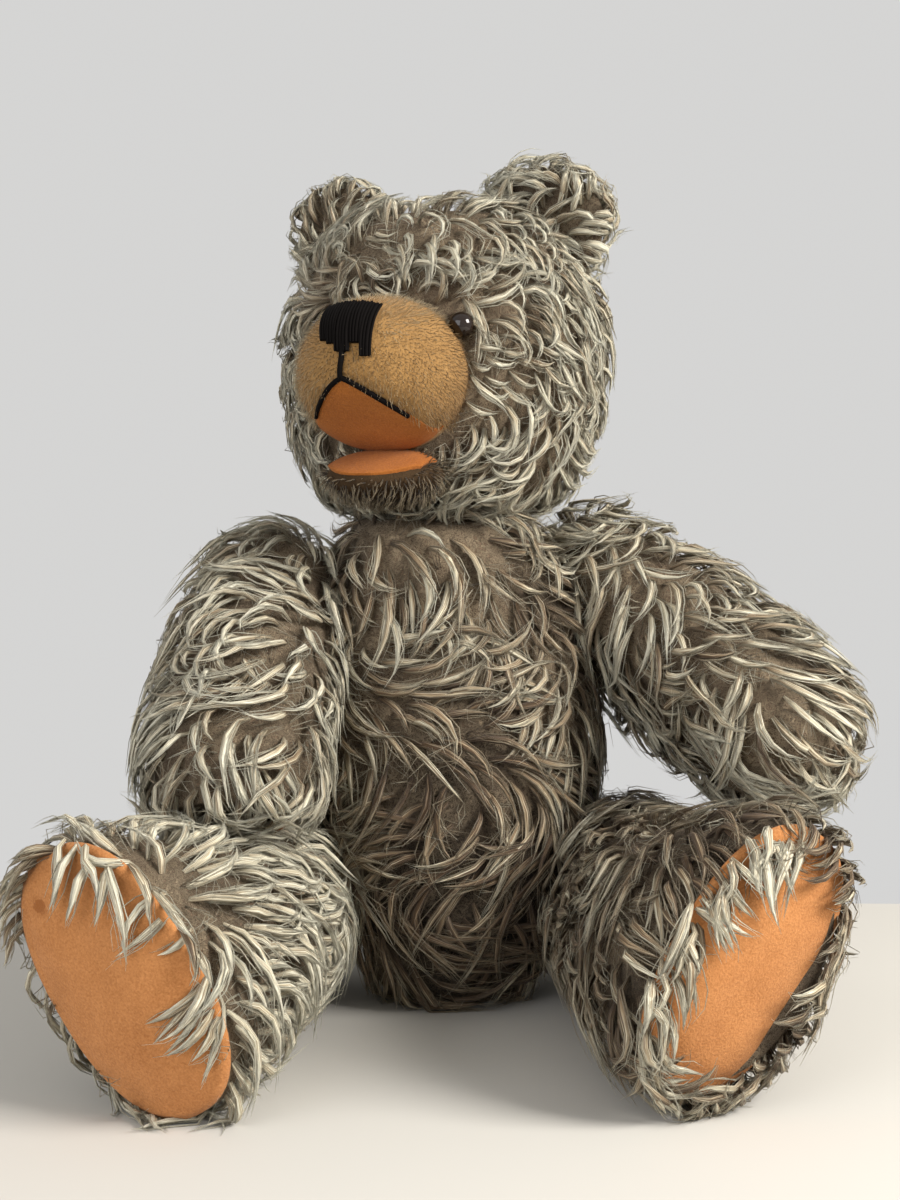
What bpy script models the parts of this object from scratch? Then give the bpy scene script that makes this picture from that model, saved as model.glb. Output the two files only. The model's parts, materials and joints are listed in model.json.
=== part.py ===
"""Old mohair teddy bear, sitting, with its head turned and its arms and legs on disc joints.

Metres, +Z up. The bear faces -Y, and its own left is +X. The origin is the middle of the flat
that the seat of the torso rests on. A cover is the woven backing and its pile together, so its
outer surface is the ends of the locks and its wall is as thick as the pile is deep.
"""

import math

import bmesh
import bpy
from mathutils import Matrix, Vector, noise

# Driving dimensions, in metres.
GAP = 0.0003  # clear space between pieces that touch
PILE = 0.009  # depth of the long pile with its backing
CORE_GAP = 0.0028  # the stuffing stands this far inside the cover
BACKING = 0.002  # cloth left where a joint has worn the pile away
LOCK_SPACING = 0.023  # from one lock's tip to the next
LOCK_LIFT = 0.011  # height of a lock's tip over the hollows beside it
LOCK_LEAN = 0.009  # how far a tip hangs along the lie of the pile
LOCK_REACH = 0.62  # a lock's foot lies this far from its tip, in spacings
LOCK_FOOT = 0.4  # the share of a lock's height that stays below the form's surface
SHARP_EDGE = math.radians(60)

NECK_HEIGHT = 0.196
SIDES = ((1, "left"), (-1, "right"))
# Lift of a joint's axis, its turn backwards, and the limb's swing about it, in degrees.
ARM_POSE = {1: (31, 12, -49), -1: (16, 0, -46)}
LEG_POSE = {1: (-20, -6, -1.5), -1: (-20, 16, 0)}
HEAD_TURN = math.radians(-31.5)  # towards the bear's right

SHOULDER_SEAT = Vector((0.048, 0.004, 0.150))
HIP_SEAT = Vector((0.043, -0.012, 0.052))

ARM_RADIUS = 0.036
LEG_RADIUS = 0.041
PAW_REST = Vector((-0.094, -0.079, 0.079))  # where the right paw presses on the leg
PAW_LIFT = Vector((0, 0.30, 0.954))
PAW_REACH = 0.06
PAW_ROOM = 0.0066  # left between them for the pile
PALM_TURN = math.radians(8)  # the palms face in
CRUSH = 0.012  # how much of a limb's radius is pressed flat at its joint
SOLE_TURN = {1: math.radians(25), -1: math.radians(19)}  # the soles face outwards of the legs
SOLE_ROLL = math.radians(14)  # and the toes lean outwards
SOLE_PLACE = Vector((LEG_RADIUS - CRUSH + 0.014, -0.163, 0.010))  # in a left leg's own frame
PALM_PLACE = Vector((ARM_RADIUS - CRUSH, -0.012, -0.096))  # the middle of the paw, in a left arm's
PALM_LIFT = 0.0170  # from there to the palm's felt
FOOT_PAD = Vector((0.028, 0.048, 0.0085))  # half width, half length and dome
PAW_PAD = Vector((0.016, 0.014, 0.006))
PRESS_ROUNDS = 5  # a leg is pressed on its joint and on the ground in turn until both are flat

# The face, in the head's own frame: the neck's face is z = 0 and the nose points to -Y.
MUZZLE_CENTRE = Vector((0, -0.060, 0.052))
MUZZLE_RADII = Vector((0.032, 0.037, 0.030))
MUZZLE_WALL = 0.0045
CHIN_CENTRE = Vector((0, -0.057, 0.0125))
CHIN_RADII = Vector((0.022, 0.027, 0.0118))
CREASE = Vector((0, -0.062, 0.0240))  # where the mouth's two felt faces meet
PALATE_RISE = math.radians(33)  # the upper felt climbs forwards from the crease
LIP_FALL = math.radians(24)  # the lower felt drops forwards from the crease
NOSE_CENTRE = Vector((0, -0.09, 0.0695))
NOSE_SIZE = Vector((0.021, 0.06, 0.0160))
NOSE_TAPER = 0.80  # width of the nose's lower edge, as a share of its upper one
THREAD_RADIUS = 0.0008
MOUTH_FORK = 0.0505  # height at which the thread from the nose splits
MOUTH_HALF_WIDTH = 0.019
MOUTH_DROP = 0.0115  # from the fork of the mouth's thread to its corners
FELT = 0.0016
EYE_RADIUS = 0.0055
EYE_SEAT = Vector((0.029, -0.0535, 0.071))
EAR_SEAT = Vector((0.046, 0.004, 0.112))
EAR_RADII = Vector((0.025, 0.0085, 0.027))

# Joint stacks: hardboard disc, steel washer and split pin on each side of the joint's face.
ARM_DISC = 0.015
BIG_DISC = 0.019  # hips and neck
DISC_THICKNESS = 0.003
WASHER_RADIUS = 0.0075
WASHER_THICKNESS = 0.0012
PIN_RADIUS = 0.0015
PIN_HEAD_RADIUS = 0.0034
PIN_HEAD_HEIGHT = 0.0022
CURL_RADIUS = 0.0032  # the split ends roll back on themselves at this radius
CURL_WIRE = 0.0009

DISC_START = BACKING + 2 * GAP
DISC_END = DISC_START + DISC_THICKNESS
WASHER_START = DISC_END + GAP
WASHER_END = WASHER_START + WASHER_THICKNESS
PIN_STOP = WASHER_END + GAP
SEAT_DEPTH = 0.016  # a disc's seat is sunk this far into the cover's pile


# ---------------------------------------------------------------- scene and materials

def clear_scene():
    """Removes what the startup file holds."""
    for obj in list(bpy.data.objects):
        bpy.data.objects.remove(obj)


def new_collection(name):
    made = bpy.data.collections.new(name)
    bpy.context.scene.collection.children.link(made)
    return made


def new_material(name, colour, roughness, metallic=0.0):
    made = bpy.data.materials.new(name)
    made.use_nodes = True
    shader = made.node_tree.nodes["Principled BSDF"]
    shader.inputs["Base Color"].default_value = (*colour, 1.0)
    shader.inputs["Roughness"].default_value = roughness
    shader.inputs["Metallic"].default_value = metallic
    made.diffuse_color = (*colour, 1.0)
    return made


clear_scene()
BEAR = new_collection("teddy_bear")
CUTTERS = new_collection("cutters")
CUTTERS.hide_render = True

MOHAIR = new_material("mohair", (0.30, 0.25, 0.18), 0.7)
SHORT_PILE = new_material("short_pile", (0.45, 0.27, 0.11), 0.8)
CHIN_PILE = new_material("chin_pile", (0.13, 0.09, 0.045), 0.8)
PEACH_FELT = new_material("peach_felt", (0.66, 0.32, 0.15), 0.95)
BLACK_THREAD = new_material("black_thread", (0.012, 0.009, 0.009), 0.5)
EYE_GLASS = new_material("eye_glass", (0.035, 0.014, 0.006), 0.1)
WOOD_WOOL = new_material("wood_wool", (0.62, 0.48, 0.28), 0.9)
HARDBOARD = new_material("hardboard", (0.33, 0.20, 0.11), 0.8)
STEEL = new_material("steel", (0.50, 0.49, 0.47), 0.4, 1.0)


# ---------------------------------------------------------------- objects and modifiers

def add_piece(name, mesh, material, parent):
    """A named piece of the bear, in its parent's frame."""
    obj = bpy.data.objects.new(name, mesh)
    BEAR.objects.link(obj)
    if not mesh.materials:
        mesh.materials.append(material)
    mesh.shade_smooth()
    mesh.set_sharp_from_angle(angle=SHARP_EDGE)
    obj.parent = parent
    return obj


def add_cutter(name, mesh, parent):
    obj = bpy.data.objects.new(name, mesh)
    CUTTERS.objects.link(obj)
    obj.hide_render = True
    obj.display_type = "WIRE"
    obj.parent = parent
    return obj


def combine(obj, other, operation):
    """Adds a Boolean of that operation to obj."""
    modifier = obj.modifiers.new(f"{operation.lower()}_{other.name}", "BOOLEAN")
    modifier.operation = operation
    modifier.object = other
    modifier.solver = "EXACT"


def cut(obj, *cutters):
    for cutter in cutters:
        combine(obj, cutter, "DIFFERENCE")


def evaluated_mesh(obj):
    """The object's mesh with its modifiers applied and its loose caps welded."""
    bpy.context.view_layer.update()
    graph = bpy.context.evaluated_depsgraph_get()
    mesh = bpy.data.meshes.new_from_object(obj.evaluated_get(graph))
    shape = bmesh.new()
    shape.from_mesh(mesh)
    bmesh.ops.remove_doubles(shape, verts=shape.verts, dist=1e-6)
    shape.to_mesh(mesh)
    shape.free()
    return mesh


def take_mesh(obj):
    """The evaluated mesh of a working object, which is then removed."""
    mesh = evaluated_mesh(obj)
    bpy.data.objects.remove(obj)
    return mesh


def mesh_from(name, shape):
    """A mesh from a bmesh, with its faces pointing out."""
    bmesh.ops.recalc_face_normals(shape, faces=shape.faces)
    mesh = bpy.data.meshes.new(name)
    shape.to_mesh(mesh)
    shape.free()
    return mesh


def add_frame(name, matrix, parent=None):
    """An empty whose origin lies on a joint's axis."""
    frame = bpy.data.objects.new(name, None)
    BEAR.objects.link(frame)
    frame.parent = parent
    frame.matrix_local = matrix
    bpy.context.view_layer.update()
    return frame


# ---------------------------------------------------------------- simple shapes

def ball_mesh(name, centre, radii, segments=20, rings=12):
    """A sphere drawn out to three radii."""
    shape = bmesh.new()
    bmesh.ops.create_uvsphere(shape, u_segments=segments, v_segments=rings, radius=1.0)
    bmesh.ops.transform(
        shape, matrix=Matrix.Translation(centre) @ Matrix.Diagonal(radii).to_4x4(), verts=shape.verts
    )
    return mesh_from(name, shape)


def grown(radii, amount):
    return Vector(radius + amount for radius in radii)


def box_mesh(name, centre, size, turn=0.0):
    """A box turned about X through its centre."""
    shape = bmesh.new()
    bmesh.ops.create_cube(shape, size=1.0)
    place = Matrix.Translation(centre) @ Matrix.Rotation(turn, 4, "X") @ Matrix.Diagonal(size).to_4x4()
    bmesh.ops.transform(shape, matrix=place, verts=shape.verts)
    return mesh_from(name, shape)


def turned_mesh(name, profile, sides):
    """A solid turned about X from (x, radius) points that start and end on the axis."""
    mesh = bpy.data.meshes.new(name + "_profile")
    points = [(x, radius, 0) for x, radius in profile]
    mesh.from_pydata(points, [(i, i + 1) for i in range(len(points) - 1)], [])
    working = bpy.data.objects.new(name + "_working", mesh)
    bpy.context.scene.collection.objects.link(working)
    screw = working.modifiers.new("turn", "SCREW")
    screw.axis = "X"
    screw.steps = sides
    screw.render_steps = sides
    screw.use_merge_vertices = True
    screw.merge_threshold = 0.00001
    shape = bmesh.new()
    shape.from_mesh(take_mesh(working))
    return mesh_from(name, shape)


def ring_mesh(name, start, end, radius, bore, sides):
    """A flat ring about X: a disc or a washer."""
    profile = [(start, bore), (start, radius), (end, radius), (end, bore), (start, bore)]
    return turned_mesh(name, profile, sides)


def tube_mesh(name, points, radius, resolution=1):
    """A round wire or thread along the points, with closed ends."""
    curve = bpy.data.curves.new(name, "CURVE")
    curve.dimensions = "3D"
    curve.bevel_depth = radius
    curve.bevel_resolution = resolution
    curve.use_fill_caps = True
    spline = curve.splines.new("POLY")
    spline.points.add(len(points) - 1)
    for point, place in zip(spline.points, points):
        point.co = (*place, 1.0)
    working = bpy.data.objects.new(name + "_working", curve)
    bpy.context.scene.collection.objects.link(working)
    shape = bmesh.new()
    shape.from_mesh(take_mesh(working))
    return mesh_from(name, shape)


def joined_mesh(name, meshes):
    """One closed body from meshes that overlap."""
    working = [bpy.data.objects.new(f"{name}_{i}", mesh) for i, mesh in enumerate(meshes)]
    for obj in working:
        bpy.context.scene.collection.objects.link(obj)
    for other in working[1:]:
        combine(working[0], other, "UNION")
    mesh = evaluated_mesh(working[0])
    for obj in working:
        bpy.data.objects.remove(obj)
    mesh.name = name
    return mesh


# ---------------------------------------------------------------- stuffed forms

def form_mesh(name, stations, sides, levels, inset=0.0):
    """A stuffed form: a coarse cage of elliptical rings, subdivided.

    A station is (centre, half width along X, half depth across it, roll about Y). inset draws
    every ring, and both ends, inwards by that much.
    """
    centres = [station[0] for station in stations]
    run = [(centres[1] - centres[0]).normalized(), (centres[-2] - centres[-1]).normalized()]
    # Each level draws a ring in by a factor that depends on its number of corners.
    shrink = 1.0
    for level in range(levels):
        shrink *= (3 + math.cos(2 * math.pi / (sides * 2 ** level))) / 4
    shape = bmesh.new()
    rings = []
    for i, (centre, half_width, half_depth, roll) in enumerate(stations):
        if i == 0:
            centre = centre + run[0] * inset
        if i == len(stations) - 1:
            centre = centre + run[1] * inset
        before, after = centres[max(i - 1, 0)], centres[min(i + 1, len(centres) - 1)]
        along = (after - before).normalized()
        across = Matrix.Rotation(roll, 3, "Y") @ Vector((1, 0, 0))
        across = (across - along * along.dot(across)).normalized()
        deep = along.cross(across)
        wide = max(half_width - inset, 0.004) / shrink
        tall = max(half_depth - inset, 0.004) / shrink
        ring = []
        for k in range(sides):
            turn = 2 * math.pi * k / sides
            spoke = across * wide * math.cos(turn) + deep * tall * math.sin(turn)
            ring.append(shape.verts.new(centre + spoke))
        rings.append(ring)
    for lower, upper in zip(rings, rings[1:]):
        for k in range(sides):
            n = (k + 1) % sides
            shape.faces.new((lower[k], lower[n], upper[n], upper[k]))
    shape.faces.new(rings[0])
    shape.faces.new(rings[-1])
    working = bpy.data.objects.new(name + "_cage", mesh_from(name + "_cage", shape))
    bpy.context.scene.collection.objects.link(working)
    smooth = working.modifiers.new("stuffing", "SUBSURF")
    smooth.levels = levels
    smooth.render_levels = levels
    mesh = take_mesh(working)
    mesh.name = name
    return mesh


def shag(mesh, frame, fall):
    """Draws a surface out into locks, each with a tip that hangs along the lie of the pile.

    fall is the lie of the pile in the form's own frame.
    """
    moved = []
    for vertex in mesh.vertices:
        place = frame @ vertex.co
        nearest = noise.voronoi(place / LOCK_SPACING)[0][0]
        tip = max(0.0, 1.0 - nearest / LOCK_REACH)
        lie = fall - vertex.normal * fall.dot(vertex.normal)
        moved.append(vertex.co + vertex.normal * LOCK_LIFT * (tip - LOCK_FOOT) + lie * LOCK_LEAN * tip)
    for vertex, place in zip(mesh.vertices, moved):
        vertex.co = place


def draw_in(mesh, amount):
    """Draws a surface in along its own normals."""
    moved = [vertex.co - vertex.normal * amount for vertex in mesh.vertices]
    for vertex, place in zip(mesh.vertices, moved):
        vertex.co = place


def press(mesh, frame, seat, outward, reach=1.0):
    """Presses flat whatever stands past a plane, within a reach of its seat, both in world terms."""
    back = frame.inverted()
    for vertex in mesh.vertices:
        place = frame @ vertex.co
        past = (place - seat).dot(outward)
        if past > 0 and (place - seat - outward * past).length < reach:
            vertex.co = back @ (place - outward * past)


# ---------------------------------------------------------------- joints

class Joint:
    """A disc joint. Its frame's +X is the axis and points from the torso into the limb."""

    def __init__(self, name, place, disc, swing=0.0):
        self.name = name
        self.disc = disc
        self.seat = place.to_translation()
        self.axis = (place.to_3x3() @ Vector((1, 0, 0))).normalized()
        self.frame = add_frame(name, place @ Matrix.Rotation(swing, 4, "X"))
        self.limb_room = self.add_room("limb_room", 1, PIN_STOP + PIN_HEAD_HEIGHT + GAP, PIN_HEAD_RADIUS)
        self.torso_room = self.add_room("torso_room", -1, PIN_STOP + 0.0085, 2 * CURL_RADIUS + 2 * CURL_WIRE)
        self.limb_wall = self.add_wall("limb_wall", 1)
        self.torso_wall = self.add_wall("torso_wall", -1)

    def add_room(self, name, side, depth, reach):
        """The space that the stack takes in the stuffing on one side, as a cutter."""
        loose = 1.5 * GAP
        profile = [
            (side * BACKING * 0.5, 0),
            (side * BACKING * 0.5, self.disc + loose),
            (side * (DISC_END + GAP), self.disc + loose),
            (side * (DISC_END + GAP), WASHER_RADIUS + loose),
            (side * (WASHER_END + GAP), WASHER_RADIUS + loose),
            (side * (WASHER_END + GAP), reach + loose),
            (side * depth, reach + loose),
            (side * depth, 0),
        ]
        return add_cutter(f"{self.name}_{name}", turned_mesh(name, profile, 12), self.frame)

    def add_wall(self, name, side):
        """What the joint takes from a cover: the pin's hole, and the disc's seat behind the cloth."""
        loose = 1.5 * GAP
        cloth = BACKING + 0.5 * GAP
        profile = [
            (-side * 2 * GAP, 0),
            (-side * 2 * GAP, PIN_RADIUS + GAP),
            (side * cloth, PIN_RADIUS + GAP),
            (side * cloth, self.disc + loose),
            (side * SEAT_DEPTH, self.disc + loose),
            (side * SEAT_DEPTH, 0),
        ]
        return add_cutter(f"{self.name}_{name}", turned_mesh(name, profile, 12), self.frame)

    def press_limb(self, mesh, frame, wall):
        """Flattens the limb's face on the joint, a wall's thickness in."""
        press(mesh, frame, self.seat + self.axis * wall, -self.axis)

    def press_torso(self, mesh, wall):
        """Flattens the torso under the joint, a wall's thickness in."""
        press(mesh, Matrix(), self.seat - self.axis * wall, self.axis)

    def add_stack(self):
        """The discs, washers and split pin."""
        for side, where in ((1, "limb"), (-1, "torso")):
            disc = ring_mesh("disc", side * DISC_START, side * DISC_END, self.disc, PIN_RADIUS + GAP, 12)
            add_piece(f"{self.name}_{where}_disc", disc, HARDBOARD, self.frame)
            washer = ring_mesh(
                "washer", side * WASHER_START, side * WASHER_END, WASHER_RADIUS, PIN_RADIUS + GAP, 8
            )
            add_piece(f"{self.name}_{where}_washer", washer, STEEL, self.frame)
        add_piece(f"{self.name}_pin", split_pin_mesh(), STEEL, self.frame)


def curl_points(side, steps=7):
    """One end of a split pin: out of the shank, then rolled back towards the washer."""
    apart = 0.0004
    points = [Vector((-PIN_STOP + CURL_WIRE, 0, side * apart))]
    middle = Vector((-PIN_STOP - CURL_WIRE - 0.0026, 0, side * (CURL_RADIUS + apart)))
    for i in range(steps):
        turn = 1.5 * math.pi * i / (steps - 1)
        reach = CURL_RADIUS * (1 - 0.35 * i / (steps - 1))
        points.append(middle + Vector((-math.sin(turn) * reach, 0, -side * math.cos(turn) * reach)))
    return points


def split_pin_mesh():
    """A split pin: a round head, a shank through both discs, and two ends rolled over."""
    head = PIN_STOP + PIN_HEAD_HEIGHT
    shank = turned_mesh(
        "shank",
        [
            (-PIN_STOP - 0.0008, 0),
            (-PIN_STOP - 0.0008, PIN_RADIUS),
            (PIN_STOP, PIN_RADIUS),
            (PIN_STOP, PIN_HEAD_RADIUS),
            (head - 0.0009, PIN_HEAD_RADIUS * 0.93),
            (head, PIN_HEAD_RADIUS * 0.5),
            (head, 0),
        ],
        6,
    )
    curls = [tube_mesh("curl", curl_points(side), CURL_WIRE, 0) for side in (1, -1)]
    return joined_mesh("split_pin", [shank, *curls])


def side_place(seat, side, tilt, yaw):
    """A joint's place on one side of the bear: tilt lifts the axis and yaw turns it backwards."""
    place = Vector((seat.x * side, seat.y, seat.z))
    outward = Matrix.Rotation(math.pi if side < 0 else 0, 4, "Z")
    turn = Matrix.Rotation(side * yaw, 4, "Z") @ Matrix.Rotation(-side * tilt, 4, "Y")
    return Matrix.Translation(place) @ turn @ outward


# ---------------------------------------------------------------- pieces

def stuffed_pair(name, stations, sides, frame_object, fall, walls, rooms, presses):
    """The cover and the stuffing of one part of the body.

    presses flattens a mesh where it meets a joint or the ground, at the wall's thickness given.
    """
    frame = frame_object.matrix_world.copy() if frame_object else Matrix()
    skin = form_mesh(name + "_skin", stations, sides, 2)
    shag(skin, frame, fall)
    presses(skin, frame, GAP)
    inside = form_mesh(name + "_inside", stations, 4, 1, PILE)
    presses(inside, frame, GAP + BACKING)
    core = inside.copy()
    draw_in(core, CORE_GAP)
    presses(core, frame, GAP + BACKING + CORE_GAP)
    cover = add_piece(name + "_cover", skin, MOHAIR, frame_object)
    hollow = add_cutter(name + "_hollow", inside, frame_object)
    stuffing = add_piece(name + "_stuffing", core, WOOD_WOOL, frame_object)
    cut(cover, hollow, *walls)
    cut(stuffing, *rooms)
    return cover, stuffing


def on_the_ground(mesh, frame, lift):
    press(mesh, frame, Vector((0, 0, lift - GAP)), Vector((0, 0, -1)))


def oval_mesh(name, place, half_width, half_length, bottom, top, sides=16):
    """An upright oval block between two heights in its place."""
    shape = bmesh.new()
    bmesh.ops.create_cone(
        shape, cap_ends=True, segments=sides, radius1=1.0, radius2=1.0, depth=1.0
    )
    size = Matrix.Diagonal((half_width, half_length, top - bottom)).to_4x4()
    rise = Matrix.Translation((0, 0, (top + bottom) / 2))
    bmesh.ops.transform(shape, matrix=place @ rise @ size, verts=shape.verts)
    return mesh_from(name, shape)


def felt_pad(name, place, size, cover, stuffing, parent):
    """A domed oval of sheet felt that closes an opening in the cover, with the stuffing behind it.

    place puts its middle on the sole with +Z outwards and +Y along its length. size is its half
    width, its half length and its dome.
    """
    half_width, half_length, dome = size
    shape = bmesh.new()
    bmesh.ops.create_uvsphere(shape, u_segments=16, v_segments=8, radius=1.0)
    below = [vertex for vertex in shape.verts if vertex.co.z < -1e-4]
    bmesh.ops.delete(shape, geom=below, context="VERTS")
    bmesh.ops.transform(shape, matrix=place @ Matrix.Diagonal(size).to_4x4(), verts=shape.verts)
    pad = add_piece(name, mesh_from(name, shape), PEACH_FELT, parent)
    sheet = pad.modifiers.new("felt", "SOLIDIFY")
    sheet.thickness = FELT
    sheet.offset = -1
    deep = -2 * PILE
    clear = 0.03
    opening = oval_mesh("opening", place, half_width + GAP, half_length + GAP, deep - CORE_GAP, clear)
    cut(cover, add_cutter(name + "_opening", opening, parent))
    before = oval_mesh("before", place, half_width + GAP, half_length + GAP, -FELT - GAP, clear)
    cut(stuffing, add_cutter(name + "_before", before, parent))
    plug = oval_mesh("plug", place, half_width - CORE_GAP, half_length - CORE_GAP, deep, -FELT - GAP)
    combine(stuffing, add_cutter(name + "_plug", plug, parent), "UNION")


def leg_stations(side):
    """Thigh, ankle and foot forwards, with the toes up. The leg bows outwards towards the foot."""
    def at(y, z, out=0.0):
        return Vector((LEG_RADIUS - CRUSH + out, side * y, z))

    thick = LEG_RADIUS
    return [
        (at(0.040, 0), 0.50 * thick, 0.50 * thick, 0),
        (at(0.022, 0), 0.92 * thick, 0.96 * thick, 0),
        (at(-0.075, 0), 0.94 * thick, 1.00 * thick, 0),
        (at(-0.122, 0.004, 0.003), 0.92 * thick, 1.12 * thick, 0.5 * SOLE_ROLL),
        (at(-0.156, 0.010, 0.012), 0.92 * thick, 1.36 * thick, SOLE_ROLL),
        (at(-0.169, 0.010, 0.016), 0.80 * thick, 1.28 * thick, SOLE_ROLL),
    ]


def arm_stations(side):
    """Shoulder, forearm and paw down -Z, bent a little forwards and in at the paw."""
    def at(z, y=0.0, out=0.0):
        return Vector((ARM_RADIUS - CRUSH + out, side * y, z))

    thick = ARM_RADIUS
    return [
        (at(0.038), 0.42 * thick, 0.45 * thick, 0),
        (at(0.022), 0.92 * thick, 0.96 * thick, 0),
        (at(-0.040, 0, 0.002), 1.12 * thick, 1.18 * thick, 0),
        (at(-0.112, -0.014, 0.002), 1.10 * thick, 1.12 * thick, 0),
        (at(-0.140, -0.026), 0.58 * thick, 0.60 * thick, 0),
    ]


def torso_stations():
    """Seat, belly, chest and neck up the Z axis."""
    def at(z, y=0.0):
        return Vector((0, y, z))

    return [
        (at(-0.014), 0.036, 0.044, 0),
        (at(0.020, -0.002), 0.056, 0.060, 0),
        (at(0.068, -0.003), 0.067, 0.068, 0),
        (at(0.112), 0.066, 0.064, 0),
        (at(0.150, 0.003), 0.066, 0.058, 0),
        (at(0.184, 0.004), 0.055, 0.049, 0),
        (at(NECK_HEIGHT + 0.006, 0.004), 0.045, 0.041, 0),
    ]


def head_stations():
    """Neck, cheeks and crown up the Z axis of the head."""
    def at(z, y=0.0):
        return Vector((0, y, z))

    return [
        (at(-0.006), 0.045, 0.042, 0),
        (at(0.012), 0.060, 0.055, 0),
        (at(0.046), 0.071, 0.063, 0),
        (at(0.086, 0.002), 0.070, 0.061, 0),
        (at(0.116, 0.003), 0.050, 0.046, 0),
        (at(0.127, 0.003), 0.026, 0.024, 0),
    ]


def add_leg(side, name, joint):
    def presses(mesh, frame, wall):
        if side < 0:
            press(mesh, frame, PAW_REST - PAW_LIFT * wall, PAW_LIFT, PAW_REACH)
        for again in range(PRESS_ROUNDS):
            joint.press_limb(mesh, frame, wall)
            on_the_ground(mesh, frame, wall)

    lie = Vector((0, -0.8 * side, -0.6))
    cover, stuffing = stuffed_pair(
        name, leg_stations(side), 6, joint.frame, lie, [joint.limb_wall], [joint.limb_room], presses
    )
    sole = Matrix.Translation((SOLE_PLACE.x, SOLE_PLACE.y * side, SOLE_PLACE.z))
    sole = sole @ Matrix.Rotation(side * SOLE_TURN[side], 4, "Z") @ Matrix.Rotation(SOLE_ROLL, 4, "Y")
    sole = sole @ Matrix.Rotation(side * math.pi / 2, 4, "X")
    felt_pad(name + "_pad", sole, FOOT_PAD, cover, stuffing, joint.frame)


def add_arm(side, name, joint):
    def presses(mesh, frame, wall):
        joint.press_limb(mesh, frame, wall)
        press(mesh, frame, Vector((0, 0, NECK_HEIGHT - wall)), Vector((0, 0, 1)))
        if side < 0:
            press(mesh, frame, PAW_REST + PAW_LIFT * (wall + PAW_ROOM), -PAW_LIFT, PAW_REACH)

    lie = Vector((0, -0.2 * side, -0.98))
    cover, stuffing = stuffed_pair(
        name, arm_stations(side), 6, joint.frame, lie, [joint.limb_wall], [joint.limb_room], presses
    )
    turn = Matrix.Rotation(-side * PALM_TURN, 4, "Z") @ Matrix.Rotation(-math.pi / 2, 4, "Y")
    palm = Matrix.Translation((PALM_PLACE.x, PALM_PLACE.y * side, PALM_PLACE.z)) @ turn
    palm = palm @ Matrix.Translation((0, 0, PALM_LIFT))
    felt_pad(name + "_pad", palm, PAW_PAD, cover, stuffing, joint.frame)


def add_torso(joints):
    def presses(mesh, frame, wall):
        on_the_ground(mesh, frame, wall)
        for joint in joints:
            joint.press_torso(mesh, wall)

    walls = [joint.torso_wall for joint in joints]
    rooms = [joint.torso_room for joint in joints]
    stuffed_pair("torso", torso_stations(), 8, None, Vector((0, 0, -1)), walls, rooms, presses)


def slab_mesh(name, rise):
    """A sheet of felt that leaves the crease of the mouth at an angle, before it is trimmed."""
    length = 0.06
    towards = Vector((0, -math.cos(rise), math.sin(rise)))
    middle = CREASE + towards * (length / 2 - 0.0005)
    return box_mesh(name, middle, Vector((0.09, length, FELT)), -rise)


def add_mouth(head):
    """The felt that lines the open mouth: one sheet folded at the crease."""
    within_muzzle = grown(MUZZLE_RADII, -0.0008)
    within_chin = grown(CHIN_RADII, -0.0004)
    palate = bpy.data.objects.new("palate_working", slab_mesh("palate", PALATE_RISE))
    lip = bpy.data.objects.new("lip_working", slab_mesh("lip", -LIP_FALL))
    upper = bpy.data.objects.new("upper_working", ball_mesh("upper", MUZZLE_CENTRE, within_muzzle, 16, 10))
    lower = bpy.data.objects.new("lower_working", ball_mesh("lower", CHIN_CENTRE, within_chin, 14, 10))
    working = [palate, lip, upper, lower]
    for obj in working:
        bpy.context.scene.collection.objects.link(obj)
    combine(palate, upper, "INTERSECT")
    combine(lip, lower, "INTERSECT")
    trimmed = [evaluated_mesh(palate), evaluated_mesh(lip)]
    for obj in working:
        bpy.data.objects.remove(obj)
    return add_piece("mouth_lining", joined_mesh("mouth_lining", trimmed), PEACH_FELT, head)


def mouth_side_cutter(name, rise, above, parent):
    """Everything beyond one felt face of the mouth, on its upper or its lower side."""
    deep = 0.08
    towards = Vector((0, -math.cos(rise), math.sin(rise)))
    up = Vector((0, math.sin(rise), math.cos(rise))) * (1 if above else -1)
    middle = CREASE + towards * 0.02 + up * (deep / 2 - FELT / 2 - GAP)
    return add_cutter(name, box_mesh(name, middle, Vector((0.1, 0.16, deep)), -rise), parent)


def muzzle_point(across, height, lift):
    """A point on the front of the muzzle, lifted off it."""
    x, z = across / MUZZLE_RADII.x, (height - MUZZLE_CENTRE.z) / MUZZLE_RADII.z
    y = -math.sqrt(max(0.0, 1 - x * x - z * z))
    normal = Vector((x / MUZZLE_RADII.x, y / MUZZLE_RADII.y, z / MUZZLE_RADII.z)).normalized()
    on = MUZZLE_CENTRE + Vector((x * MUZZLE_RADII.x, y * MUZZLE_RADII.y, z * MUZZLE_RADII.z))
    return on + normal * lift


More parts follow.
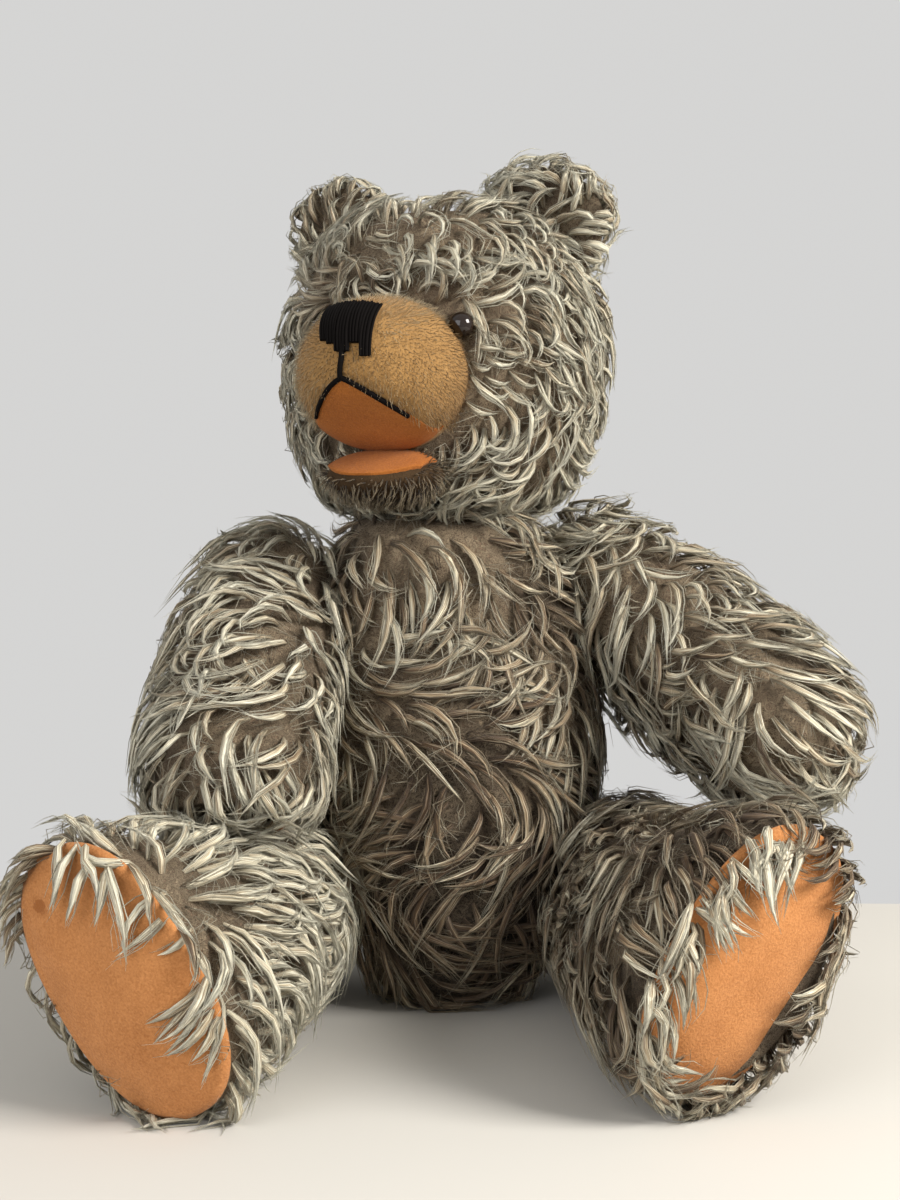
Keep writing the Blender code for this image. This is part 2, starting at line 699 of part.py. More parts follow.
def add_stitching(head):
    """The worked nose, and the thread from it that splits into the two sides of the mouth."""
    outer = ball_mesh("nose_outer", MUZZLE_CENTRE, grown(MUZZLE_RADII, 0.0014), 22, 14)
    nose = add_piece("nose_stitching", outer, BLACK_THREAD, head)
    under = ball_mesh("nose_under", MUZZLE_CENTRE, grown(MUZZLE_RADII, 0.0004), 22, 14)
    shape = bmesh.new()
    bmesh.ops.create_cube(shape, size=1.0)
    place = Matrix.Translation(NOSE_CENTRE) @ Matrix.Diagonal(NOSE_SIZE).to_4x4()
    bmesh.ops.transform(shape, matrix=place, verts=shape.verts)
    for vertex in shape.verts:
        if vertex.co.z < NOSE_CENTRE.z:
            vertex.co.x *= NOSE_TAPER
    outline = add_cutter("nose_outline", mesh_from("nose_outline", shape), head)
    combine(nose, outline, "INTERSECT")
    cut(nose, add_cutter("nose_under", under, head))
    lift = THREAD_RADIUS + GAP
    middle = [muzzle_point(0, z, lift) for z in (0.0608, 0.0575, 0.054, MOUTH_FORK)]
    sides = []
    for side in (1, -1):
        run = [
            muzzle_point(side * MOUTH_HALF_WIDTH * t, MOUTH_FORK - MOUTH_DROP * t ** 1.3, lift)
            for t in (0, 0.25, 0.5, 0.75, 1)
        ]
        sides.append(tube_mesh("mouth_side", run, THREAD_RADIUS, 1))
    line = joined_mesh("mouth_stitching", [tube_mesh("mouth_line", middle, THREAD_RADIUS, 1), *sides])
    add_piece("mouth_stitching", line, BLACK_THREAD, head)


def add_head(joint):
    head = joint.frame
    face = add_frame("face", Matrix.Rotation(math.radians(90), 4, "Y"), head)

    def presses(mesh, frame, wall):
        joint.press_limb(mesh, frame, wall)

    lie = Vector((0, 0, -1))
    cover, stuffing = stuffed_pair(
        "head", head_stations(), 8, face, lie, [joint.limb_wall], [joint.limb_room], presses
    )
    below = mouth_side_cutter("below_palate", PALATE_RISE, False, face)
    over = mouth_side_cutter("over_lip", -LIP_FALL, True, face)
    muzzle = add_piece("muzzle", ball_mesh("muzzle", MUZZLE_CENTRE, MUZZLE_RADII, 22, 14), SHORT_PILE, face)
    inner = ball_mesh("muzzle_inner", MUZZLE_CENTRE, grown(MUZZLE_RADII, -MUZZLE_WALL), 14, 8)
    muzzle_hollow = add_cutter("muzzle_hollow", inner, face)
    behind = box_mesh("behind_muzzle", Vector((0, 0.002, 0.05)), Vector((0.1, 0.1, 0.1)))
    behind_muzzle = add_cutter("behind_muzzle", behind, face)
    cut(muzzle, muzzle_hollow, below, behind_muzzle)
    core = ball_mesh("core", MUZZLE_CENTRE, grown(MUZZLE_RADII, -MUZZLE_WALL - CORE_GAP), 14, 8)
    muzzle_core = add_cutter("muzzle_core", core, face)
    cut(muzzle_core, below)
    room = ball_mesh("muzzle_room", MUZZLE_CENTRE, grown(MUZZLE_RADII, 2 * GAP), 22, 14)
    muzzle_room = add_cutter("muzzle_room", room, face)
    chin = add_piece("chin", ball_mesh("chin", CHIN_CENTRE, CHIN_RADII, 14, 10), CHIN_PILE, face)
    cut(chin, over)
    room = ball_mesh("chin_room", CHIN_CENTRE, grown(CHIN_RADII, 2 * GAP), 14, 10)
    chin_room = add_cutter("chin_room", room, face)
    cut(muzzle, chin_room)
    cut(cover, muzzle_room, chin_room)
    combine(stuffing, muzzle_core, "UNION")
    cut(stuffing, chin_room)
    add_mouth(face)
    add_stitching(face)
    for side, name in SIDES:
        seat = Vector((side * EYE_SEAT.x, EYE_SEAT.y, EYE_SEAT.z))
        eye = ball_mesh("eye", seat, Vector((EYE_RADIUS,) * 3), 10, 6)
        add_piece(f"eye_{name}", eye, EYE_GLASS, face)
        socket = ball_mesh("socket", seat, Vector((EYE_RADIUS + 2 * GAP,) * 3), 10, 6)
        eye_socket = add_cutter(f"eye_{name}_socket", socket, face)
        cut(cover, eye_socket)
        cut(muzzle, eye_socket)
        seat = Matrix.Translation((side * EAR_SEAT.x, EAR_SEAT.y, EAR_SEAT.z))
        seat = seat @ Matrix.Rotation(math.radians(side * 38), 4, "Y")
        ear = ball_mesh("ear", Vector(), EAR_RADII, 14, 10)
        ear.transform(seat)
        add_piece(f"ear_{name}", ear, MOHAIR, face)
        slit = ball_mesh("slit", Vector(), grown(EAR_RADII, 2 * GAP), 14, 10)
        slit.transform(seat)
        ear_slit = add_cutter(f"ear_{name}_slit", slit, face)
        cut(cover, ear_slit)
        cut(stuffing, ear_slit)


def build():
    neck_place = Matrix.Translation((0, 0.004, NECK_HEIGHT)) @ Matrix.Rotation(math.radians(-90), 4, "Y")
    neck = Joint("neck", neck_place, BIG_DISC, HEAD_TURN)
    shoulders, hips = {}, {}
    for side, name in SIDES:
        tilt, turn, swing = (math.radians(angle) for angle in ARM_POSE[side])
        place = side_place(SHOULDER_SEAT, side, tilt, turn)
        shoulders[side] = Joint(f"shoulder_{name}", place, ARM_DISC, side * swing)
        tilt, turn, swing = (math.radians(angle) for angle in LEG_POSE[side])
        place = side_place(HIP_SEAT, side, tilt, turn)
        hips[side] = Joint(f"hip_{name}", place, BIG_DISC, side * swing)
    joints = [neck, *shoulders.values(), *hips.values()]
    add_torso(joints)
    add_head(neck)
    for side, name in SIDES:
        add_arm(side, f"arm_{name}", shoulders[side])
        add_leg(side, f"leg_{name}", hips[side])
    for joint in joints:
        joint.add_stack()


build()
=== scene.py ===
"""Looks of an old sitting bear of long curly mohair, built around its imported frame.

Every stuffed part is a smooth skin of woven backing. Locks grow from the skin: each has a guide
line that follows the lie of the pile, and a geometry-node tree lays a bundle of tapered strands
along it. The muzzle, chin, felt, stitching and eyes are pieces of their own.
"""

import json
import logging
import math
from dataclasses import dataclass, field
from enum import Enum
from typing import Callable, Optional, Sequence

import bmesh
import bpy
import numpy as np
from mathutils import Matrix, Vector, noise
from mathutils.bvhtree import BVHTree


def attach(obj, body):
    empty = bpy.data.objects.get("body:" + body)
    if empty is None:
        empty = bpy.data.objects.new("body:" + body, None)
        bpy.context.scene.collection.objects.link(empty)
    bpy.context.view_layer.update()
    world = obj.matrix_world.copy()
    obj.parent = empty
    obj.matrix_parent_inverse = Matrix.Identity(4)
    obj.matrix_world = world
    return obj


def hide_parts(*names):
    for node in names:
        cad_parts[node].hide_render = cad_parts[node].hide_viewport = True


Piece, Material = bpy.types.Object, bpy.types.Material
Colour = tuple[float, float, float]
Grows = Callable[[Vector, Vector], float]
Lie = Callable[[Vector, Vector], "Lock"]

LOG = logging.getLogger("bear")
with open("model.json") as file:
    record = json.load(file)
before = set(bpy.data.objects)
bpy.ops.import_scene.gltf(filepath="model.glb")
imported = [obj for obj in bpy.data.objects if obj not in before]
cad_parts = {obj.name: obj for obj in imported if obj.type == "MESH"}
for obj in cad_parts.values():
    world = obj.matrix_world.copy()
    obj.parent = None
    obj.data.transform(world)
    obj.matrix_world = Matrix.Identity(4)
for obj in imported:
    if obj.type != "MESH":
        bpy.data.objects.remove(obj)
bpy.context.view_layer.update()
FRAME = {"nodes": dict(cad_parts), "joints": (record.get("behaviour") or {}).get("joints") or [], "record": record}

UP, DOWN = Vector((0, 0, 1)), Vector((0, 0, -1))
AHEAD, BACK = Vector((0, -1, 0)), Vector((0, 1, 0))
OUTBOARD = Vector((1, 0, 0))
SKIN_DEPTH = 0.0070  # how far the skin lies inside the ends of the pile
WALL = 0.0006  # the space left between a skin and what it meets
NECK_HEIGHT = 0.196
FLOOR_CLEARANCE = 0.0004
NOISE_SEED = 7
FACE_DEPTH = 0.0015  # how near a joint's face counts as on it
CORE_REACH = 0.84  # where the matted middle of a lock ends


# ---------------- node graphs

class Value:
    """A node's output socket that takes part in Python arithmetic."""

    def __init__(self, graph: "Graph", socket: bpy.types.NodeSocket) -> None:
        """Wraps a socket of a graph.

        Args:
            graph: The graph that new nodes are added to.
            socket: The output socket.
        """
        self.graph = graph
        self.socket = socket

    def __add__(self, other: "Value | float") -> "Value":
        """self + other."""
        return self.graph.math("ADD", self, other)

    def __radd__(self, other: float) -> "Value":
        """other + self."""
        return self.graph.math("ADD", other, self)

    def __sub__(self, other: "Value | float") -> "Value":
        """self - other."""
        return self.graph.math("SUBTRACT", self, other)

    def __rsub__(self, other: float) -> "Value":
        """other - self."""
        return self.graph.math("SUBTRACT", other, self)

    def __mul__(self, other: "Value | float") -> "Value":
        """self * other."""
        return self.graph.math("MULTIPLY", self, other)

    def __rmul__(self, other: float) -> "Value":
        """other * self."""
        return self.graph.math("MULTIPLY", other, self)

    def __pow__(self, other: float) -> "Value":
        """self to the power other."""
        return self.graph.math("POWER", self, other)

    def clamped(self) -> "Value":
        """self kept between 0 and 1."""
        node = self.graph.node("ShaderNodeClamp", {}, {"Value": self})
        return Value(self.graph, node.outputs[0])


class Graph:
    """A shader or geometry node tree that is written as expressions."""

    def __init__(self, tree: bpy.types.NodeTree) -> None:
        """Wraps a tree.

        Args:
            tree: The node tree to add to.
        """
        self.tree = tree

    def node(self, kind: str, settings: dict, inputs: dict) -> bpy.types.Node:
        """Adds a node.

        Args:
            kind: The node's type name.
            settings: Its own properties, set first.
            inputs: Socket names or numbers, with a Value or a constant for each.

        Returns:
            The new node.
        """
        made = self.tree.nodes.new(kind)
        for name, setting in settings.items():
            if name == "stops":
                self._set_stops(made, setting)
            else:
                setattr(made, name, setting)
        for name, given in inputs.items():
            if isinstance(given, Value):
                self.tree.links.new(given.socket, made.inputs[name])
            else:
                made.inputs[name].default_value = given
        return made

    @staticmethod
    def _set_stops(made: bpy.types.Node, stops: list[tuple[float, tuple]]) -> None:
        """Gives a colour ramp its stops.

        Args:
            made: The ramp node.
            stops: (position, colour) pairs in order.
        """
        ramp = made.color_ramp
        while len(ramp.elements) < len(stops):
            ramp.elements.new(1.0)
        for element, (position, colour) in zip(ramp.elements, stops):
            element.position = position
            element.color = (*colour, 1.0)

    def out(self, made: bpy.types.Node, name: "str | int" = 0) -> Value:
        """An output of a node, as a Value."""
        return Value(self, made.outputs[name])

    def math(self, operation: str, *values: "Value | float") -> Value:
        """A Math node on numbers."""
        return self.out(self.node("ShaderNodeMath", {"operation": operation}, dict(enumerate(values))))

    def vector(self, operation: str, *values: "Value | tuple") -> Value:
        """A Vector Math node with a vector result."""
        return self.out(self.node("ShaderNodeVectorMath", {"operation": operation}, dict(enumerate(values))))

    def scaled(self, vector: Value, scale: "Value | float") -> Value:
        """A vector times a number."""
        made = self.node("ShaderNodeVectorMath", {"operation": "SCALE"}, {0: vector, "Scale": scale})
        return self.out(made)

    def mixed(self, factor: "Value | float", first: "Value | tuple", second: "Value | tuple") -> Value:
        """A mix of two colours.

        Args:
            factor: How much of the second.
            first: The first colour.
            second: The second colour.

        Returns:
            The mixed colour.
        """
        first, second = (side if isinstance(side, Value) else (*side, 1.0) for side in (first, second))
        made = self.node("ShaderNodeMix", {"data_type": "RGBA"}, {0: factor, 6: first, 7: second})
        return self.out(made, 2)

    def noise(self, where: Value, scale: float, detail: float = 3.0, roughness: float = 0.5) -> Value:
        """A noise of a vector, as a number about one half."""
        inputs = {"Vector": where, "Scale": scale, "Detail": detail, "Roughness": roughness}
        return self.out(self.node("ShaderNodeTexNoise", {}, inputs))

    def stretched(self, where: Value, scale: tuple[float, float, float]) -> Value:
        """A vector with each axis scaled, through a Mapping node."""
        return self.out(self.node("ShaderNodeMapping", {}, {"Vector": where, "Scale": scale}))


# ---------------- finishes

@dataclass(frozen=True)
class Finish:
    """What every finish has: a name, and constants on its shader's own sockets."""

    name: str
    roughness: float = 0.8
    metallic: float = 0.0
    sheen: float = 0.0
    specular: float = 0.5

    def material(self) -> Material:
        """Makes the material.

        Returns:
            The finished material.
        """
        made = bpy.data.materials.new(self.name)
        made.use_nodes = True
        graph = Graph(made.node_tree)
        shader = made.node_tree.nodes["Principled BSDF"]
        shader.inputs["Roughness"].default_value = self.roughness
        shader.inputs["Metallic"].default_value = self.metallic
        shader.inputs["Sheen Weight"].default_value = self.sheen
        shader.inputs["Specular IOR Level"].default_value = self.specular
        self.dress(graph, shader)
        return made

    def dress(self, graph: Graph, shader: bpy.types.Node) -> None:
        """Adds what varies over the surface.

        Args:
            graph: The material's graph.
            shader: Its Principled shader.
        """
        raise NotImplementedError

    @staticmethod
    def place(graph: Graph) -> Value:
        """Object coordinates."""
        return graph.out(graph.node("ShaderNodeTexCoord", {}, {}), "Object")

    @staticmethod
    def attribute(graph: Graph, name: str) -> Value:
        """A number stored on the mesh."""
        return graph.out(graph.node("ShaderNodeAttribute", {"attribute_name": name}, {}), "Fac")

    @staticmethod
    def paint(graph: Graph, shader: bpy.types.Node, colour: Value) -> None:
        """Links a colour to the shader."""
        graph.tree.links.new(colour.socket, shader.inputs["Base Color"])

    @staticmethod
    def emboss(graph: Graph, shader: bpy.types.Node, height: Value, distance: float) -> None:
        """Links a height to the shader's normal through a Bump node."""
        made = graph.node("ShaderNodeBump", {}, {"Height": height, "Distance": distance, "Strength": 1.0})
        graph.tree.links.new(made.outputs[0], shader.inputs["Normal"])


@dataclass(frozen=True)
class MohairFinish(Finish):
    """Strands of mohair: brown at the root, faded to silver and cream at the tip."""

    root: Colour = (0.085, 0.048, 0.022)
    middle: Colour = (0.35, 0.242, 0.138)
    faded: Colour = (0.72, 0.640, 0.450)
    tip: Colour = (0.97, 0.935, 0.755)

    def dress(self, graph: Graph, shader: bpy.types.Node) -> None:
        """Fades each strand along its length, by as much as its own tone says.

        Args:
            graph: The material's graph.
            shader: Its Principled shader.
        """
        along = self.attribute(graph, "along")
        tone = self.attribute(graph, "tone")
        streak = self.streaks(graph, along, tone)
        fade = (along * 0.62 + tone * 0.86 - 0.14 + (streak - 0.5) * 3.0).clamped()
        stops = [(0.0, self.root), (0.34, self.middle), (0.72, self.faded), (1.0, self.tip)]
        ramp = graph.node("ShaderNodeValToRGB", {"stops": stops}, {0: fade})
        self.paint(graph, shader, graph.out(ramp))
        self.emboss(graph, shader, streak, 0.0014)

    @staticmethod
    def streaks(graph: Graph, along: Value, tone: Value) -> Value:
        """Fine parallel hairs that run along a lock, as a number about one half.

        Args:
            graph: The material's graph.
            along: How far along its strand a point is.
            tone: The strand's tone.

        Returns:
            The pattern.
        """
        ring = graph.out(graph.node("ShaderNodeAttribute", {"attribute_name": "ring"}, {}), "Vector")
        drift = graph.node("ShaderNodeCombineXYZ", {}, {0: tone * 37.0, 1: tone * 91.0, 2: along * 1.6})
        return graph.noise(graph.vector("ADD", graph.scaled(ring, 5.0), graph.out(drift)), 1.0, 2.0, 0.6)


@dataclass(frozen=True)
class BackingFinish(Finish):
    """The brown woven backing with the stubs of its pile."""

    dark: Colour = (0.150, 0.100, 0.060)
    light: Colour = (0.54, 0.415, 0.270)
    # deep: painted shade, towards which the backing is darkened where the pile's tone is low
    deep: Colour = (0.028, 0.017, 0.008)

    def dress(self, graph: Graph, shader: bpy.types.Node) -> None:
        """Covers the cloth with two layers of tangled fine hairs, then darkens it with painted shade where the
        pile's tone is low.

        Args:
            graph: The material's graph.
            shader: Its Principled shader.
        """
        place = self.place(graph)
        hairs = graph.math("MAXIMUM", self.hairs(graph, place, 210.0), self.hairs(graph, place, 330.0))
        patches = graph.noise(place, 60.0)
        mask = (hairs * (patches * 2.0)).clamped()
        worn = graph.mixed(mask, self.dark, self.light)
        # painted shade: the lower the skin's tone, the more the backing turns to the deep colour, less so on the
        # bright hairs
        shaded = ((0.52 - self.attribute(graph, "tone")) * 2.2).clamped()
        self.paint(graph, shader, graph.mixed(shaded * (1.0 - mask * 0.45), worn, self.deep))
        self.emboss(graph, shader, hairs, 0.0018)

    @staticmethod
    def hairs(graph: Graph, place: Value, scale: float) -> Value:
        """A layer of winding thin lines, bright along their middles.

        Args:
            graph: The material's graph.
            place: Object coordinates.
            scale: Features for each metre.

        Returns:
            Their brightness.
        """
        inputs = {"Vector": place, "Scale": scale, "Detail": 3.0, "Roughness": 0.7, "Distortion": 2.2}
        tangle = graph.out(graph.node("ShaderNodeTexNoise", {}, inputs))
        return (1.0 - graph.math("ABSOLUTE", tangle - 0.5) * 14.0).clamped()


@dataclass(frozen=True)
class ShortPileFinish(Finish):
    """Short upright pile, darker where it is dense and pale where it is worn."""

    dark: Colour = (0.23, 0.120, 0.036)
    light: Colour = (0.41, 0.230, 0.078)
    bump: float = 0.0008

    def dress(self, graph: Graph, shader: bpy.types.Node) -> None:
        """Mottles the pile and raises its tufts.

        Args:
            graph: The material's graph.
            shader: Its Principled shader.
        """
        place = self.place(graph)
        tufts = graph.noise(place, 1500.0, 3.0, 0.6)
        nap = graph.noise(place, 120.0, 4.0, 0.6)
        mask = (tufts * 0.7 + nap * 0.9 - 0.30).clamped()
        self.paint(graph, shader, graph.mixed(mask, self.dark, self.light))
        self.emboss(graph, shader, tufts, self.bump)


@dataclass(frozen=True)
class FeltFinish(Finish):
    """Matt pressed felt with short tangled fibres and soiled patches."""

    dark: Colour = (0.32, 0.118, 0.034)
    light: Colour = (0.62, 0.282, 0.104)
    fibre: float = 1210.0

    def dress(self, graph: Graph, shader: bpy.types.Node) -> None:
        """Mottles the felt with fibres, then with soiling, and paints shade into the small hole.

        Args:
            graph: The material's graph.
            shader: Its Principled shader.
        """
        place = self.place(graph)
        drift = graph.out(graph.node("ShaderNodeTexNoise", {}, {"Vector": place, "Scale": 300.0}), "Color")
        fibres = graph.noise(graph.vector("ADD", place, graph.scaled(drift, 0.0012)), self.fibre, 4.0, 0.65)
        soiling = graph.noise(place, 55.0, 3.0, 0.6)
        # painted shade: the felt turns to its dark colour inside the small hole
        hole = self.attribute(graph, "soil")
        mask = (fibres * 1.5 + soiling * 0.7 - 0.62 - hole * 3.0).clamped()
        self.paint(graph, shader, graph.mixed(mask, self.dark, self.light))
        self.emboss(graph, shader, fibres, 0.0005)


@dataclass(frozen=True)
class PlainFinish(Finish):
    """A finish of two close colours, with a fine grain."""

    dark: Colour = (0.01, 0.01, 0.01)
    light: Colour = (0.03, 0.03, 0.03)
    grain: float = 400.0
    bump: float = 0.0001
    stretch: tuple[float, float, float] = (1.0, 1.0, 1.0)

    def dress(self, graph: Graph, shader: bpy.types.Node) -> None:
        """Varies the colour and the surface with one grain.

        Args:
            graph: The material's graph.
            shader: Its Principled shader.
        """
        grain = graph.noise(graph.stretched(self.place(graph), self.stretch), self.grain, 3.0, 0.6)
        self.paint(graph, shader, graph.mixed(grain, self.dark, self.light))
        self.emboss(graph, shader, grain, self.bump)


class Finishes:
    """All the finishes of the bear, made once."""

    def __init__(self) -> None:
        """Makes every material."""
        self.mohair = MohairFinish("mohair_strands", roughness=0.45, sheen=0.08, specular=0.4).material()
        self.backing = BackingFinish("mohair_backing", roughness=0.95).material()
        self.muzzle = ShortPileFinish("muzzle_pile", roughness=0.8, sheen=0.08, specular=0.2).material()
        self.chin = ShortPileFinish("chin_pile", roughness=0.9, specular=0.1, dark=(0.018, 0.010, 0.005),
                                    light=(0.085, 0.052, 0.026)).material()
        self.muzzle_bristle = MohairFinish(
            "muzzle_bristles", roughness=0.6, sheen=0.15, specular=0.3, root=(0.20, 0.095, 0.022),
            middle=(0.33, 0.165, 0.038), faded=(0.53, 0.300, 0.076), tip=(0.90, 0.74, 0.47)).material()
        self.chin_bristle = MohairFinish(
            "chin_bristles", roughness=0.5, sheen=0.1, root=(0.012, 0.008, 0.004), middle=(0.075, 0.046, 0.021),
            faded=(0.33, 0.235, 0.120), tip=(0.66, 0.53, 0.33)).material()
        self.felt = FeltFinish("peach_felt", roughness=0.95, sheen=0.08, specular=0.1).material()
        # the mouth's felt is the peach felt made darker and redder; its darkness is partly painted shade inside
        # the mouth
        self.mouth_felt = FeltFinish("mouth_felt", roughness=0.95, sheen=0.05, specular=0.1,
                                     dark=(0.235, 0.070, 0.013), light=(0.47, 0.166, 0.034)).material()
        self.thread = PlainFinish("black_thread", roughness=0.75, specular=0.06, dark=(0.0012, 0.0009, 0.0009),
                                  light=(0.006, 0.0045, 0.004), grain=2500.0, bump=0.0002).material()
        self.glass = PlainFinish("eye_glass", roughness=0.08, dark=(0.006, 0.004, 0.003),
                                 light=(0.020, 0.010, 0.006), grain=80.0, bump=0.00001).material()
        self.wood_wool = PlainFinish("wood_wool", roughness=0.9, dark=(0.36, 0.24, 0.11),
                                     light=(0.70, 0.55, 0.33), grain=500.0, bump=0.0015,
                                     stretch=(1.0, 0.25, 1.0)).material()
        self.hardboard = PlainFinish("hardboard", roughness=0.85, dark=(0.20, 0.11, 0.055),
                                     light=(0.36, 0.22, 0.12), grain=1800.0, bump=0.0002).material()
        self.steel = PlainFinish("steel", roughness=0.38, metallic=1.0, dark=(0.42, 0.41, 0.39),
                                 light=(0.56, 0.55, 0.53), grain=900.0, bump=0.00003).material()

    def dress_frame(self) -> None:
        """Gives the frame's own nodes their finishes by the record's slots."""
        by_slot = {
            "mohair": self.backing, "short_pile": self.muzzle, "chin_pile": self.chin,
            "peach_felt": self.felt, "black_thread": self.thread, "eye_glass": self.glass,
            "wood_wool": self.wood_wool, "hardboard": self.hardboard, "steel": self.steel,
        }
        slots = {entry["node"]: entry["material_slot"] for entry in FRAME["record"]["subparts"]}
        for name, node in FRAME["nodes"].items():
            for slot in node.material_slots:
                slot.material = by_slot[slots[name]]


# ---------------- meshes

def object_from(name: str, shape: bmesh.types.BMesh, material: Material) -> Piece:
    """Turns a bmesh into an object with smooth faces that point outwards.

    Args:
        name: The object's name.
        shape: The bmesh, which is freed.
        material: Its material.

    Returns:
        The linked object.
    """
    bmesh.ops.recalc_face_normals(shape, faces=shape.faces)
    mesh = bpy.data.meshes.new(name)
    shape.to_mesh(mesh)
    shape.free()
    mesh.materials.append(material)
    mesh.shade_smooth()
    made = bpy.data.objects.new(name, mesh)
    bpy.context.scene.collection.objects.link(made)
    return made


def dressed(piece: Piece, body: str, node: str = "", fill: float = 0.0) -> None:
    """Hangs a finished piece on its body, and hides the node that it replaces.

    Args:
        piece: The piece.
        body: The body that it rides on.
        node: The node that it replaces, if any.
        fill: Not used.
    """
    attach(piece, body)
    if node:
        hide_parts(node)


def recoloured(piece: Piece, material: Material) -> Piece:
    """Gives a piece another material.

    Args:
        piece: The piece.
        material: Its new material.

    Returns:
        The same piece.
    """
    piece.data.materials.clear()
    piece.data.materials.append(material)
    return piece


def applied(obj: Piece) -> Piece:
    """Applies an object's modifiers to its mesh.

    Args:
        obj: The object.

    Returns:
        The same object, without modifiers.
    """
    graph = bpy.context.evaluated_depsgraph_get()
    mesh = bpy.data.meshes.new_from_object(obj.evaluated_get(graph))
    mesh.name = obj.name
    obj.modifiers.clear()
    obj.data = mesh
    return obj


def bounded(number: float) -> float:
    """A number kept between 0 and 1."""
    return min(max(number, 0.0), 1.0)


def divided(off: Vector, radii: Vector) -> Vector:
    """A vector with each axis divided by a radius."""
    return Vector((off.x / radii.x, off.y / radii.y, off.z / radii.z))


def tangent(direction: Vector, normal: Vector) -> Vector:
    """A direction laid flat on a surface, one unit long.

    Args:
        direction: The direction.
        normal: The surface's normal.

    Returns:
        The flat direction.
    """
    flat = direction - normal * direction.dot(normal)
    if flat.length < 1e-6:
        flat = normal.orthogonal()
    return flat.normalized()


def press(points: list[Vector], seat: Vector, outward: Vector, reach: float = 1.0) -> None:
    """Presses flat what stands past a plane.

    Args:
        points: World points, changed in place.
        seat: A point of the plane.
        outward: The side that is pressed back.
        reach: How far from the seat the plane reaches.
    """
    for i, point in enumerate(points):
        past = (point - seat).dot(outward)
        if past > 0 and (point - seat - outward * past).length < reach:
            points[i] = point - outward * past


@dataclass
class Station:
    """One ring of a stuffed form.

    Attributes:
        centre: Its middle, in the form's frame.
        wide: Half its width along X.
        deep: Half its depth across X.
        roll: Its turn about Y, in radians.
        pile: How deep the skin lies below the pile there.
    """

    centre: Vector
    wide: float
    deep: float
    roll: float = 0.0
    pile: float = SKIN_DEPTH


@dataclass
class StuffedForm:
    """A smooth stuffed form: a coarse cage of elliptical rings, subdivided.

    Attributes:
        stations: Its rings in order.
        sides: Sides of the cage.
        place: The form's frame.
        levels: How often the cage is subdivided.
        thinnest: The least half width of a ring.
    """

    stations: list[Station]
    sides: int
    place: Matrix
    levels: int = 3
    thinnest: float = 0.004

    def shape(self) -> bmesh.types.BMesh:
        """Builds the cage.

        Returns:
            The cage as a bmesh in world coordinates.
        """
        shrink = 1.0
        for level in range(self.levels):  # each level draws an even ring in by this much
            shrink *= (3 + math.cos(2 * math.pi / (self.sides * 2 ** level))) / 4
        centres = [station.centre for station in self.stations]
        inwards = {0: (centres[1] - centres[0]).normalized(),
                   len(centres) - 1: (centres[-2] - centres[-1]).normalized()}
        shape = bmesh.new()
        rings = []
        for i, station in enumerate(self.stations):
            centre = station.centre + inwards.get(i, Vector()) * station.pile
            before, after = centres[max(i - 1, 0)], centres[min(i + 1, len(centres) - 1)]
            rings.append(self._ring(shape, station, centre, (after - before).normalized(), shrink))
        for lower, upper in zip(rings, rings[1:]):
            for k in range(self.sides):
                n = (k + 1) % self.sides
                shape.faces.new((lower[k], lower[n], upper[n], upper[k]))
        shape.faces.new(rings[0])
        shape.faces.new(rings[-1])
        return shape

    def _ring(self, shape: bmesh.types.BMesh, station: Station, centre: Vector, along: Vector,
              shrink: float) -> list[bmesh.types.BMVert]:
        """Adds one ring of the cage.

        Args:
            shape: The cage.
            station: The ring's station.
            centre: Its middle after the inset.
            along: The direction of the form there.
            shrink: How far subdivision will draw the ring in.

        Returns:
            The ring's vertices in order.
        """
        across = tangent(Matrix.Rotation(station.roll, 3, "Y") @ OUTBOARD, along)
        deep = along.cross(across)
        wide = max(station.wide - station.pile, self.thinnest) / shrink
        tall = max(station.deep - station.pile, self.thinnest) / shrink
        ring = []
        for k in range(self.sides):
            turn = 2 * math.pi * k / self.sides
            spoke = across * wide * math.cos(turn) + deep * tall * math.sin(turn)
            ring.append(shape.verts.new(self.place @ (centre + spoke)))
        return ring

    def build(self, name: str, material: Material,
              presses: Callable[[list[Vector]], None]) -> Piece:
        """Builds the smooth skin.

        Args:
            name: The object's name.
            material: Its material.
            presses: Flattens the skin's world points where it meets a joint or the ground.

        Returns:
            The skin.
        """
        skin = object_from(name, self.shape(), material)
        smooth = skin.modifiers.new("stuffing", "SUBSURF")
        smooth.levels = self.levels
        smooth.render_levels = self.levels
        applied(skin)
        points = [vertex.co.copy() for vertex in skin.data.vertices]
        presses(points)
        for vertex, point in zip(skin.data.vertices, points):
            vertex.co = point
        return skin


# ---------------- mohair

@dataclass(frozen=True)
class Coat:
    """How the pile of one part grows.

    Attributes:
        spacing: Distance between the roots of locks.
        length: Length of a lock.
        width: Half a lock's width.
        lift: How far a lock lies above the skin.
        stand: The share of a lock's tip that leaves the skin instead of following it.
        curl: How far a lock turns on the skin over its length, in radians.
        scatter: How far its lie strays from its neighbours', in radians.
        core: The radius of the matted middle of a lock, as a share of the lock's half width.
        flatness: How far that middle is pressed flat, from 0 to 1.
        hook: How much of a lock's curl is saved for its tip, from 0 to 1.
        strands: Loose strands round it.
        points: Points along a strand.
        strand: Half a strand's width.
        wave: How far a strand weaves within its lock.
        sides: Sides of a strand.
        core_sides: Sides of a lock's matted middle.
        tip: A strand's width at its tip, as a share of its width at the root.
        shortest: The shortest strand's length as a share of its lock's.
    """

    spacing: float = 0.0095
    length: float = 0.032
    width: float = 0.0028
    lift: float = 0.0055
    stand: float = 0.35
    curl: float = 1.5
    scatter: float = 0.5
    core: float = 0.66
    flatness: float = 0.55
    hook: float = 0.3
    strands: int = 4
    points: int = 6
    strand: float = 0.00029
    wave: float = 0.0007
    sides: int = 3
    core_sides: int = 4
    tip: float = 0.15
    shortest: float = 0.7


